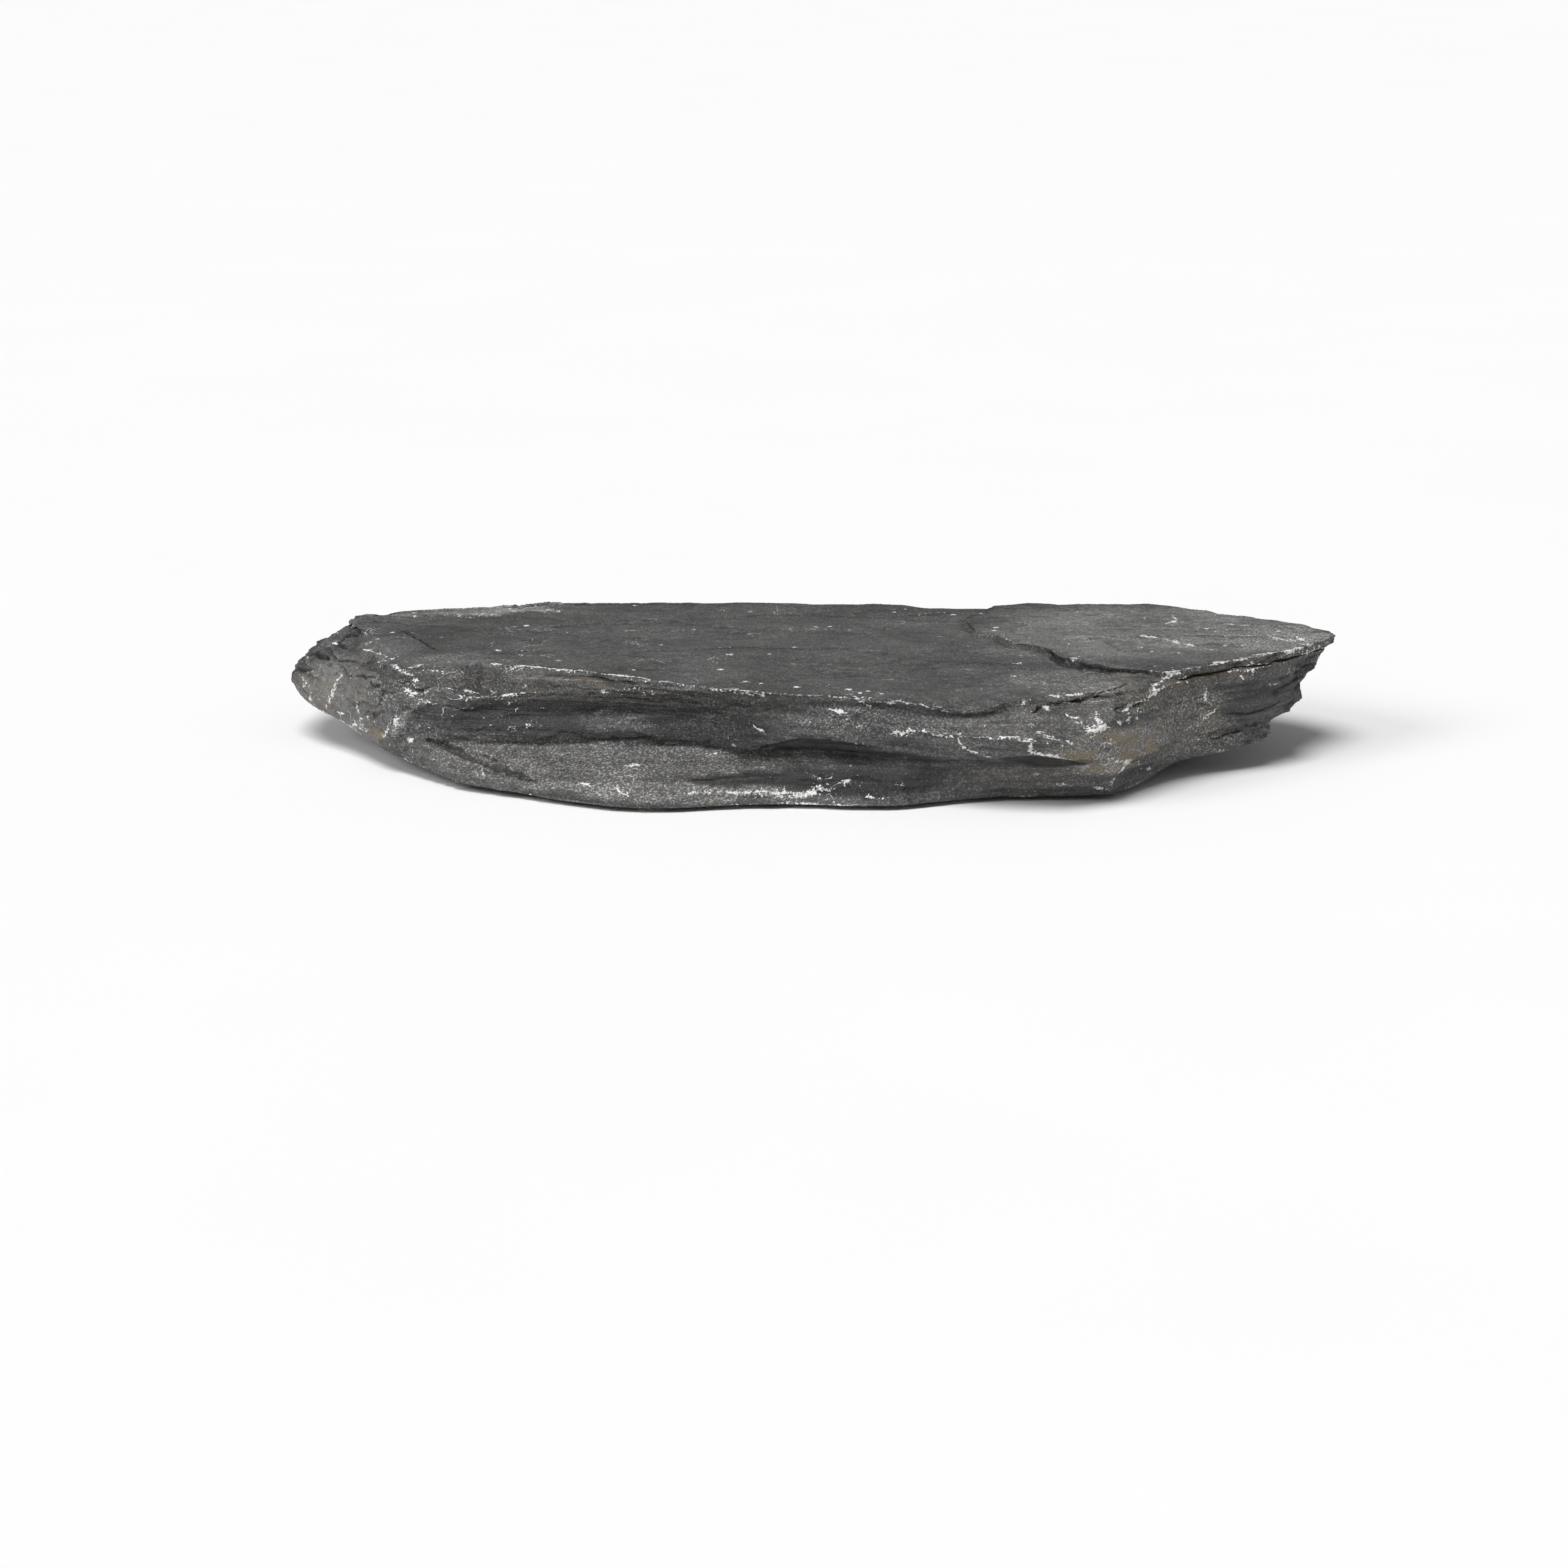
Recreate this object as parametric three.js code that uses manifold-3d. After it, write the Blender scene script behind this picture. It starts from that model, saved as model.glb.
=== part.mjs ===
// A hand-sized slab of dark grey slate: one piece of stone that split along its flat cleavage planes
// and broke off all round in ledges, scoops and overhangs. It lies on its flat underside.
// Millimetres, +Z up, the long side along X, the side that is seen best towards -Y.
import * as THREE from "three";
import { mergeVertices } from "three/addons/utils/BufferGeometryUtils.js";
import Module from "manifold-3d";

const wasm = await Module();
wasm.setup();

// Driving dimensions
const COLUMN_SPACING = 3.4; // between the columns of points round the slab
const LEDGES = [1, 2, 2, 1, 2, 1]; // broken ledges in each band between two breaks of the profile
const RISER = 0.82; // share of a ledge's height that its upright face takes
const CHIP_DEPTH = 1.6; // how far the most chipped stretch of a ledge stands back from the least
const CHIP_INSET = 0.35; // how much of that lies behind the profile rather than in front of it
const CHIP_LENGTH = 12; // usual length of one chip along a ledge
const BEDDING_DRIFT = 0.3; // how far a ledge's corner wanders up and down along the slab
const CENTRE_LINE_Y = 8; // the slab's long middle line
const TOP_RINGS = [
  { alongX: 0.97, alongY: 0.92 },
  { alongX: 0.9, alongY: 0.68 },
  { alongX: 0.78, alongY: 0.36 },
];
const TOP_LEVEL = 22.7;
const TOP_ROLL = 0.4; // how far the worn top rises and falls
const FOOT_SHARE = 0.88; // outline of the flat underside, as a share of the slab's at its lowest edge
const FOOT_SHRINK = 0.04; // how much of that share is lost for each millimetre that the edge is higher
const FOOT_MIDDLE = 0.45;
const SHEET_EDGE_SPACING = 3.4;
const SHEET_JAG = 0.8; // how far a sheet's broken edge wanders
const CRACK_MOUTH = 2; // how far a crack's shape reaches out of the stone, so that it opens fully

// The stations go round the slab, anticlockwise from above, from the back left corner. Each gives the
// broken profile there, from the rim of the top to the lower edge: rim, brow, facet edge, overhang,
// hollow, foot step and lower edge. Where the slab is broken straight across, x is given once.
// The back has four breaks, which are spread evenly. stepped is how strongly the stretch is broken
// into ledges, from 0, smooth, to 1, stairs. A corner keeps the outline from being rounded there.
const STATIONS = [
  {
    stepped: 0.9, corner: true,
    points: [
      [-101, 36, 21.3], [-103, 37, 19.7], [-105, 37.5, 18.2], [-107, 37.5, 16.7], [-107.5, 37, 15.5],
      [-108, 36.5, 14], [-107.5, 35, 12.5],
    ],
  },
  {
    stepped: 0.9,
    points: [
      [-98, 25, 21.5], [-103, 26, 20], [-107, 27, 18.4], [-109, 27.5, 16.8], [-110.5, 28, 15.3],
      [-111.3, 27.5, 13.8], [-110.8, 26.5, 12.5],
    ],
  },
  {
    stepped: 0.8,
    points: [
      [-95, 12.5, 21.6], [-100, 13, 19.9], [-104, 14, 18.2], [-107.5, 15, 16.4], [-110.5, 16, 14.7],
      [-112, 16.8, 13.2], [-111.5, 17, 12],
    ],
  },
  {
    stepped: 0.25,
    points: [
      [-89, -4, 21.8], [-94, -2, 19.2], [-98, 0, 16.8], [-101, 2.5, 14.4], [-104, 5, 12],
      [-106.5, 8, 10], [-107, 9.6, 9],
    ],
  },
  {
    stepped: 0.08,
    points: [
      [-83, -14, 21.9], [-87.5, -12.5, 18.6], [-91, -10, 15.6], [-93.5, -7.5, 12.9], [-95.5, -4.5, 10.5],
      [-97.5, -1.5, 8], [-98, 0, 6.8],
    ],
  },
  {
    stepped: 0.1, corner: true,
    points: [
      [-75, -15.5, 22.2], [-77, -17.5, 19.8], [-79.5, -18.5, 16.5], [-83.5, -16.5, 12], [-86.5, -15.3, 9.3],
      [-88, -14.3, 6.5], [-88, -12.5, 4],
    ],
  },
  {
    stepped: 0.25, x: -73,
    yz: [[-14.5, 22.4], [-20, 17.8], [-20.5, 14], [-20.7, 9.3], [-20.2, 8.3], [-24, 4], [-28, 1.7]],
  },
  {
    stepped: 0.25, x: -68,
    yz: [[-10.5, 22.5], [-20.5, 17.8], [-21, 13], [-21.7, 9.2], [-21, 8.1], [-27, 4.3], [-31, 1.6]],
  },
  {
    stepped: 0.22, x: -60,
    yz: [[-14, 22.7], [-20.5, 18.4], [-21.5, 13.6], [-23.2, 9.5], [-22, 8.3], [-29.5, 3.9], [-34.5, 1.3]],
  },
  {
    stepped: 0.2, x: -52,
    yz: [[-16, 22.7], [-20.7, 18.8], [-22, 13.8], [-23.7, 9.7], [-22.3, 8.4], [-33, 4], [-39.7, 1.2]],
  },
  {
    stepped: 0.2, x: -43,
    yz: [[-21, 22.7], [-22.7, 19.6], [-23, 14.4], [-25, 10.2], [-23.5, 8.9], [-36, 4.1], [-43, 1.1]],
  },
  {
    stepped: 0.2, x: -33,
    yz: [[-26, 22.7], [-26.5, 20.6], [-25.5, 15.1], [-26.7, 10.5], [-25, 9.1], [-37, 4.7], [-45, 1]],
  },
  {
    stepped: 0.18, x: -23,
    yz: [[-31.5, 22.7], [-31, 21.3], [-29, 16], [-28.5, 10.2], [-27, 9], [-37.5, 4.9], [-44, 1]],
  },
  {
    stepped: 0.18, x: -14,
    yz: [[-35, 22.6], [-34.5, 20.8], [-32.5, 15.6], [-32.2, 9.6], [-29.5, 8.2], [-38.3, 4.9], [-42, 1]],
  },
  {
    stepped: 0.2, x: -9.5,
    yz: [[-36, 22.6], [-34.5, 19.6], [-34, 16], [-34.3, 10.6], [-30, 8.6], [-38.5, 5.2], [-42, 1]],
  },
  {
    stepped: 0.2, x: -3,
    yz: [[-37, 22.5], [-36, 19.6], [-36.7, 16.6], [-37.2, 12.4], [-31.5, 9.6], [-39, 5.3], [-42, 1]],
  },
  {
    stepped: 0.2, x: 7,
    yz: [[-38.5, 22.3], [-37.5, 20.3], [-38.2, 17], [-38.7, 12.8], [-33, 9.9], [-40.5, 5.4], [-43, 1]],
  },
  {
    stepped: 0.25, x: 17,
    yz: [[-40, 22], [-38.5, 20], [-40.7, 16], [-39.7, 11.7], [-37, 9.6], [-40.5, 4.8], [-42.7, 1]],
  },
  {
    stepped: 0.35, x: 24.5,
    yz: [[-42, 20.9], [-40.5, 19.2], [-43.2, 15.8], [-41.5, 11.6], [-38.5, 9.3], [-39.5, 4.2], [-40, 1]],
  },
  {
    stepped: 0.4, x: 29.5,
    yz: [[-43, 20.2], [-41.5, 18.8], [-44.7, 15.6], [-42.5, 12], [-39.5, 9.6], [-38.7, 4], [-38.5, 1]],
  },
  {
    stepped: 0.35, x: 33.5,
    yz: [[-44, 20.8], [-42, 19.7], [-46.2, 15.9], [-43.5, 11.3], [-40, 9.3], [-38, 3.9], [-37.2, 1]],
  },
  {
    stepped: 0.3, x: 37.5,
    yz: [[-41.5, 21.8], [-41, 19.8], [-46.7, 16], [-44.7, 11], [-40, 8.9], [-37.7, 3.9], [-36, 1]],
  },
  {
    stepped: 0.2, x: 42.5,
    yz: [[-39, 22.2], [-41, 20], [-47.2, 15.9], [-46.2, 12.4], [-40.5, 9.1], [-37.7, 3.9], [-36, 1]],
  },
  {
    stepped: 0.25, x: 48.5,
    yz: [[-35, 22.5], [-38, 20.8], [-47.2, 15.3], [-46.2, 11.8], [-41, 8.8], [-38, 4], [-35.7, 1]],
  },
  {
    stepped: 0.3, x: 53.5,
    yz: [[-34.5, 22.6], [-36, 21.2], [-45, 16.2], [-43.7, 10.4], [-41, 8.4], [-38, 4], [-35.3, 1]],
  },
  {
    stepped: 0.3, corner: true,
    points: [
      [59.3, -34, 22.7], [59.1, -35.5, 21.5], [58.7, -42, 18], [58.8, -41.5, 11.8], [59, -40, 8.5],
      [59.4, -37, 3.6], [59.6, -35, 1],
    ],
  },
  {
    stepped: 0.4,
    points: [
      [64.5, -31.5, 22.6], [64.5, -33.5, 21.7], [64.5, -35.5, 18.3], [64.3, -35.3, 12.5], [64.3, -33.3, 8],
      [64.2, -31, 4.8], [64.6, -29.7, 1.6],
    ],
  },
  {
    stepped: 0.3,
    points: [
      [68, -28.5, 22.2], [68.5, -31, 21.3], [68.5, -31, 17.4], [68.5, -29.5, 12.3], [68.5, -27.7, 7.6],
      [68.5, -26.2, 4.5], [68.7, -25, 2.4],
    ],
  },
  {
    stepped: 0.3,
    points: [
      [74.5, -20.3, 21.6], [74, -24, 20.9], [73.8, -25.3, 17.2], [74, -24.7, 12.9], [74.2, -23, 9.4],
      [74.5, -21, 6.4], [74.8, -19, 3.8],
    ],
  },
  {
    stepped: 0.35,
    points: [
      [83.5, -13, 21.5], [83, -16, 20.8], [83, -18, 18.3], [83, -18, 13.2], [83.2, -17, 9.7],
      [83.4, -16, 7.2], [83.7, -14.5, 4.6],
    ],
  },
  {
    stepped: 0.6,
    points: [
      [92.5, -7.8, 21.5], [92.8, -10.8, 20.9], [93, -12.7, 18], [93, -13, 13.4], [93, -12.2, 11.3],
      [92.8, -11.5, 9], [92.5, -10.7, 6.2],
    ],
  },
  {
    stepped: 0.95,
    points: [
      [101.2, 1, 21.5], [101.8, -1.7, 20.9], [101.4, -3.2, 18.3], [100.8, -5, 15.3], [99.8, -6, 13.2],
      [94.6, -9, 9.7], [93, -10, 6.7],
    ],
  },
  {
    stepped: 1, corner: true,
    points: [
      [108.6, 9.8, 21.6], [108.6, 7.2, 20.9], [106.4, 5.1, 19.4], [102.6, -0.9, 17], [99.8, -4.5, 13.3],
      [94.2, -7.5, 10], [92, -8.5, 7],
    ],
  },
  {
    stepped: 1,
    points: [
      [103.3, 18.3, 21.8], [102.5, 16.5, 20.3], [100, 13, 17.5], [96.5, 8.5, 14], [93.5, 5, 11],
      [90.5, 3, 8.7], [88, 1, 6.6],
    ],
  },
  { stepped: 0.9, points: [[90.5, 28, 22.4], [89.5, 26.5, 16], [86, 21.5, 10], [81.5, 17.5, 4.7]] },
  { stepped: 0.8, corner: true, points: [[76.5, 39.5, 22.4], [76, 40, 16.5], [74, 37, 9.5], [70, 31, 3.4]] },
  { stepped: 0.8, x: 51, yz: [[42.5, 22.2], [44.5, 17], [43, 9.5], [38.5, 2.3]] },
  { stepped: 0.6, x: 15, yz: [[44, 22], [47, 16], [46, 9], [42, 1.8]] },
  { stepped: 0.8, x: -20, yz: [[46, 21.9], [48.5, 17], [46.5, 10], [41, 2.2]] },
  { stepped: 0.9, x: -55, yz: [[47.5, 21.6], [50, 17], [48.5, 11], [43, 4.2]] },
  { stepped: 0.9, points: [[-80, 42, 21.4], [-82, 44, 18.5], [-84.5, 45, 14], [-86, 41, 9]] },
];

// Thin cleavage sheets that are left standing on the top, each with a broken edge.
// tilt is how much a sheet's top rises for each millimetre along X and Y.
const SHEETS = [
  {
    outline: [
      [48, -4], [55, -15], [61, -19.5], [70, -24], [74, -22.5], [83, -15], [93, -9.7], [102.5, -0.5],
      [110.5, 9.8], [104.5, 19.5], [91, 29], [77, 40.3], [62, 42], [51, 43], [40, 40], [33, 25], [38, 8],
    ],
    bottom: 22, top: 23.8, tilt: [0.004, -0.006],
  },
  {
    outline: [
      [-100, 35], [-90, 36], [-80, 31.5], [-71, 36], [-60, 33], [-45, 27], [-25, 30], [-5, 36],
      [15, 33], [30, 38], [20, 44], [-20, 45.5], [-55, 47], [-80, 41.5],
    ],
    bottom: 20.5, top: 22.7, tilt: [0.003, 0.01],
  },
];

// Cracks and thin slots that follow the cleavage, each lens-shaped in its length. at is the middle of
// the mouth, turn is its direction in degrees from +X seen from above, and rise its slope along that.
const CRACKS = [
  { at: [-16, -38.4, 4.9], long: 36, high: 3, deep: 1.3, turn: 0, rise: 0.01 },
  { at: [10, -40.6, 5.6], long: 22, high: 1.3, deep: 0.8, turn: 0, rise: 0.02 },
  { at: [53, -37, 20.9], long: 23, high: 1, deep: 2.2, turn: 20, rise: 0.08 },
  { at: [29.5, -42, 18.9], long: 14, high: 0.8, deep: 1.6, turn: 0, rise: 0.01 },
  { at: [-67, -24.5, 6.1], long: 22, high: 0.9, deep: 1.5, turn: -28, rise: -0.17 },
  { at: [88, -15.8, 13.4], long: 14, high: 0.9, deep: 1.7, turn: 27, rise: 0.12 },
  { at: [83.5, -17, 9], long: 9, high: 0.8, deep: 1.4, turn: 25, rise: 0.06 },
  { at: [63, -35, 19.6], long: 10, high: 0.8, deep: 1.5, turn: 30, rise: 0.04 },
  { at: [-45, -23.8, 9.9], long: 14, high: 0.7, deep: 1.5, turn: 0, rise: 0 },
  { at: [-84, 14.5, 22.6], long: 25, high: 0.7, deep: 1.2, turn: -66, rise: 0, fromTop: true },
];

const slateGrey = new THREE.MeshStandardMaterial({ color: 0x4a4b4d, roughness: 0.82, metalness: 0 });

const between = (a, b, share) => a + (b - a) * share;
const vector = (values) => new THREE.Vector3(...values);

// A repeatable number from 0 to 1 for two whole numbers.
function scatter(a, b) {
  const s = Math.sin(a * 127.1 + b * 311.7) * 43758.5453;
  return s - Math.floor(s);
}

// A smooth wander from -1 to 1 along a line.
function wander(along, seed) {
  const i = Math.floor(along);
  const f = along - i;
  const ease = f * f * (3 - 2 * f);
  return 2 * between(scatter(i, seed), scatter(i + 1, seed), ease) - 1;
}

// Chips along a ledge: stretches that stand back by different amounts and end abruptly, from -1 to 1.
function chips(along, seed) {
  const stretch = Math.floor(along / CHIP_LENGTH + 0.8 * wander(along / 9, seed + 40));
  return 2 * scatter(stretch, seed) - 1;
}

// A station's breaks as points, always one more than there are bands.
function breaksOf({ x, yz, points }) {
  const given = (points ?? yz.map(([y, z]) => [x, y, z])).map(vector);
  const wanted = LEDGES.length + 1;
  return Array.from({ length: wanted }, (_, n) => {
    const place = (n * (given.length - 1)) / (wanted - 1);
    const from = Math.min(Math.floor(place), given.length - 2);
    return given[from].clone().lerp(given[from + 1], place - from);
  });
}

// The columns of points round the slab: straight next to a corner, rounded between the other stations.
function makeColumns() {
  const stations = STATIONS.map((station) => ({ ...station, breaks: breaksOf(station) }));
  const curves = stations[0].breaks.map((_, level) => {
    const rail = stations.map((station) => station.breaks[level]);
    return new THREE.CatmullRomCurve3(rail, true);
  });
  const columns = [];
  let along = 0;
  stations.forEach((here, n) => {
    const next = stations[(n + 1) % stations.length];
    const rimGap = here.breaks[0].distanceTo(next.breaks[0]);
    const edgeGap = here.breaks.at(-1).distanceTo(next.breaks.at(-1));
    const gap = Math.max(rimGap, edgeGap);
    const count = Math.max(1, Math.round(gap / COLUMN_SPACING));
    const straight = here.corner || next.corner;
    for (let i = 0; i < count; i++) {
      const share = i / count;
      const mix = (point, level) => (straight
        ? point.clone().lerp(next.breaks[level], share)
        : curves[level].getPoint((n + share) / stations.length));
      columns.push({
        along: along + gap * share,
        breaks: here.breaks.map(mix),
        stepped: between(here.stepped, next.stepped, share),
      });
    }
    along += gap;
  });
  // Outward is square to the outline, measured half-way down over a few columns each way.
  columns.forEach((column, n) => {
    const reach = 3;
    const before = columns[(n - reach + columns.length) % columns.length].breaks[3];
    const after = columns[(n + reach) % columns.length].breaks[3];
    column.outward = new THREE.Vector3(after.y - before.y, before.x - after.x, 0).normalize();
  });
  return columns;
}

// One column's broken profile from the rim down to the lower edge: each ledge is an upright face and a
// tread, and fades out and returns along the slab.
function profile(column) {
  const points = [column.breaks[0].clone().addScaledVector(column.outward, 0.5 * chips(column.along, 1))];
  LEDGES.forEach((ledges, band) => {
    const upper = column.breaks[band];
    const lower = column.breaks[band + 1];
    for (let ledge = 0; ledge < ledges; ledge++) {
      const seed = 10 * band + ledge + 2;
      const chip = CHIP_DEPTH * column.stepped * (chips(column.along, seed) - CHIP_INSET);
      const stair = column.stepped * (0.55 + 0.45 * chips(column.along, seed + 60));
      const height = (upper.z - lower.z) / ledges;
      const drift = Math.min(BEDDING_DRIFT, 0.2 * height) * wander(column.along / 14, seed + 20);
      const start = ledge / ledges;
      const end = (ledge + 1) / ledges;
      const isLowest = band === LEDGES.length - 1 && ledge === ledges - 1;
      const riser = upper.clone().lerp(lower, between(start, end, RISER * (1 - stair)));
      const tread = upper.clone().lerp(lower, end);
      riser.z = between(upper.z, lower.z, between(start, end, RISER)) + drift;
      tread.z += isLowest ? 0 : drift;
      points.push(riser.addScaledVector(column.outward, chip));
      points.push(tread.addScaledVector(column.outward, 0.5 * chip));
    }
  });
  return points;
}

// A ring of the top or the underside, drawn in from the outline towards the middle line.
function ring(outline, shareOf, heightOf) {
  return outline.map((p) => {
    const share = shareOf(p);
    const x = p.x * share.alongX;
    const y = between(CENTRE_LINE_Y, p.y, share.alongY);
    return new THREE.Vector3(x, y, heightOf(p, x, y));
  });
}

// The closed skin of the slab without the sheets on its top.
function slabGeometry() {
  const profiles = makeColumns().map(profile);
  const rows = profiles[0].map((_, row) => profiles.map((points) => points[row]));
  const rim = rows[0];
  const edge = rows.at(-1);
  const roll = (x, y) => TOP_ROLL * wander(x / 21 + y / 29, 70) * wander(y / 14, 71);
  const topHeight = (p, x, y) => between(p.z, TOP_LEVEL, 0.8) + roll(x, y);
  const footShare = (p) => FOOT_SHARE - FOOT_SHRINK * p.z;
  const evenly = (share) => ({ alongX: share, alongY: share });
  const rings = [
    ...TOP_RINGS.map((share) => ring(rim, () => share, topHeight)).reverse(),
    ...rows,
    ring(edge, (p) => evenly(0.5 + 0.5 * footShare(p)), (p) => 0.45 * p.z),
    ring(edge, (p) => evenly(footShare(p)), () => 0),
    ring(edge, () => evenly(FOOT_MIDDLE), () => 0),
  ];
  const count = rim.length;
  const index = [];
  for (let r = 0; r + 1 < rings.length; r++) {
    for (let n = 0; n < count; n++) {
      const a = r * count + n;
      const b = r * count + ((n + 1) % count);
      index.push(a, a + count, b + count, a, b + count, b);
    }
  }
  const flat = (points) => points.map((p) => new THREE.Vector2(p.x, p.y));
  const last = (rings.length - 1) * count;
  for (const [a, b, c] of THREE.ShapeUtils.triangulateShape(flat(rings[0]), [])) index.push(a, b, c);
  for (const [a, b, c] of THREE.ShapeUtils.triangulateShape(flat(rings.at(-1)), [])) {
    index.push(last + c, last + b, last + a);
  }
  const geometry = new THREE.BufferGeometry();
  const vertices = rings.flat().flatMap((p) => [p.x, p.y, p.z]);
  geometry.setAttribute("position", new THREE.Float32BufferAttribute(vertices, 3));
  geometry.setIndex(index);
  return geometry;
}

// One thin cleavage sheet with a broken edge.
function sheetGeometry({ outline, bottom, top, tilt }, seed) {
  const points = [];
  outline.forEach((corner, n) => {
    const from = new THREE.Vector2(...corner);
    const to = new THREE.Vector2(...outline[(n + 1) % outline.length]);
    const count = Math.max(1, Math.round(from.distanceTo(to) / SHEET_EDGE_SPACING));
    const across = to.clone().sub(from).normalize().rotateAround(new THREE.Vector2(), Math.PI / 2);
    for (let i = 0; i < count; i++) {
      const jag = SHEET_JAG * (2 * scatter(points.length, seed) - 1);
      points.push(from.clone().lerp(to, i / count).addScaledVector(across, jag));
    }
  });
  const middle = new THREE.Box2().setFromPoints(points).getCenter(new THREE.Vector2());
  const blank = { depth: top - bottom, bevelEnabled: false };
  const geometry = new THREE.ExtrudeGeometry(new THREE.Shape(points), blank);
  geometry.translate(0, 0, bottom);
  const position = geometry.getAttribute("position");
  for (let i = 0; i < position.count; i++) {
    if (position.getZ(i) > (bottom + top) / 2) {
      const rise = tilt[0] * (position.getX(i) - middle.x) + tilt[1] * (position.getY(i) - middle.y);
      position.setZ(i, position.getZ(i) + rise);
    }
  }
  return geometry;
}

// A crack as a thin wedge that fades to a point at both ends.
function crackGeometry({ at, long, high, deep, turn, rise, fromTop }, seed) {
  const direction = THREE.MathUtils.degToRad(turn);
  const along = new THREE.Vector3(Math.cos(direction), Math.sin(direction), rise);
  const level = new THREE.Vector3(Math.sin(direction), -Math.cos(direction), 0);
  const upright = new THREE.Vector3(0, 0, 1);
  const [outward, across] = fromTop ? [upright, level.negate()] : [level, upright];
  const place = (share, out, side) => vector(at)
    .addScaledVector(along, (share * long) / 2)
    .addScaledVector(outward, out)
    .addScaledVector(across, side);
  const points = [place(-1, 0, 0)];
  const shares = [-0.8, -0.4, 0, 0.4, 0.8];
  shares.forEach((share, n) => {
    const size = Math.sqrt(1 - share * share) * (0.8 + 0.4 * scatter(n, seed));
    const open = ((high / 2) * size * (deep * size + CRACK_MOUTH)) / (deep * size);
    points.push(place(share, -deep * size, 0));
    points.push(place(share, CRACK_MOUTH, open), place(share, CRACK_MOUTH, -open));
  });
  points.push(place(1, 0, 0));
  const index = [];
  const last = points.length - 1;
  for (let side = 0; side < 3; side++) {
    const next = (side + 1) % 3;
    index.push(0, 1 + next, 1 + side);
    for (let n = 0; n + 1 < shares.length; n++) {
      const a = 1 + 3 * n + side;
      const b = 1 + 3 * n + next;
      index.push(a, b, b + 3, a, b + 3, a + 3);
    }
    index.push(last, last - 3 + side, last - 3 + next);
  }
  const geometry = new THREE.BufferGeometry();
  const vertices = points.flatMap((p) => [p.x, p.y, p.z]);
  geometry.setAttribute("position", new THREE.Float32BufferAttribute(vertices, 3));
  geometry.setIndex(index);
  return geometry;
}

function toSolid(geometry) {
  const bare = geometry.clone();
  bare.deleteAttribute("normal");
  bare.deleteAttribute("uv");
  const merged = mergeVertices(bare, 1e-4);
  return new wasm.Manifold(
    new wasm.Mesh({
      numProp: 3,
      vertProperties: new Float32Array(merged.getAttribute("position").array),
      triVerts: new Uint32Array(merged.index.array),
    }),
  );
}

function toGeometry(solid) {
  const mesh = solid.getMesh();
  const geometry = new THREE.BufferGeometry();
  geometry.setAttribute("position", new THREE.Float32BufferAttribute(mesh.vertProperties, 3));
  geometry.setIndex(new THREE.BufferAttribute(mesh.triVerts, 1));
  geometry.computeVertexNormals();
  return geometry;
}

let stone = toSolid(slabGeometry());
SHEETS.forEach((sheet, n) => {
  stone = stone.add(toSolid(sheetGeometry(sheet, 80 + n)));
});

CRACKS.forEach((crack, n) => {
  stone = stone.subtract(toSolid(crackGeometry(crack, 90 + n)));
});

// A crack can cut a flake right off: only the stone itself is kept.
stone = stone.decompose().reduce((largest, body) => (body.volume() > largest.volume() ? body : largest));

// The origin is under the middle of the slab's box, on the face that it rests on.
const stoneGeometry = toGeometry(stone);
stoneGeometry.computeBoundingBox();
const middle = stoneGeometry.boundingBox.getCenter(new THREE.Vector3());
stoneGeometry.translate(-middle.x, -middle.y, -stoneGeometry.boundingBox.min.z);

const slab = new THREE.Mesh(stoneGeometry, slateGrey);
slab.name = "slate_slab";

const group = new THREE.Group();
group.add(slab);
export default group;
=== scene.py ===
import itertools
import math

import bpy
import numpy as np
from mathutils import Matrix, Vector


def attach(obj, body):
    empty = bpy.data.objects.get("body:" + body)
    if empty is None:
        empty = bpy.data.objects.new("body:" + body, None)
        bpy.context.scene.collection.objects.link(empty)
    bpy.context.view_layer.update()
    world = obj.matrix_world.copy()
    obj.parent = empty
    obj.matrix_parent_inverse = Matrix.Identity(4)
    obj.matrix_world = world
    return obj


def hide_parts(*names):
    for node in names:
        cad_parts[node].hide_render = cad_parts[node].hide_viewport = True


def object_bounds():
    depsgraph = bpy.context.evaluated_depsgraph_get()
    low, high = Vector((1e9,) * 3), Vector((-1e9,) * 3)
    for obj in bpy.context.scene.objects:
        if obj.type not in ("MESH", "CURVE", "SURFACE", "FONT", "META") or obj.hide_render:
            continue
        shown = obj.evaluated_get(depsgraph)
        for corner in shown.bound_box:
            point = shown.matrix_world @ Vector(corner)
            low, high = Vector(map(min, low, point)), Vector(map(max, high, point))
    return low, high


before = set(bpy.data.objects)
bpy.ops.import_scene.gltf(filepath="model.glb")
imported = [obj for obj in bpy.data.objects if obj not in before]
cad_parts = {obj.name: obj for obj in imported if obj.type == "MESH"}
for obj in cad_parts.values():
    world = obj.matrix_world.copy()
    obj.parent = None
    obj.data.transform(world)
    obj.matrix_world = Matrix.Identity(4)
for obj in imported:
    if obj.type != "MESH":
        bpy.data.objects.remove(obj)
cad_box = [list(corner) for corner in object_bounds()]

# The camera of the photograph: place in metres, angle below the horizon, lens and sensor in millimetres
CAMERA_PLACE = (-0.00516, -0.75219, 0.1992)
CAMERA_DOWN = 15.3
CAMERA_LENS = 85
CAMERA_SENSOR = 36

# The mesh: voxel size and weld gap in millimetres, triangles, and the angle that makes an edge sharp
VOXEL = 0.36
WELD_GAP = 0.002
TRIANGLES = 196000
SHARP_ANGLE = 34

# Thin beds and thinner sheets: thickness and unbroken run in millimetres, seed, then depth of relief
BEDS = (2.1, 11, 21)
BED_DEPTH = 0.42
SHEETS = (1, 5, 31)
SHEET_DEPTH = 0.2
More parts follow.
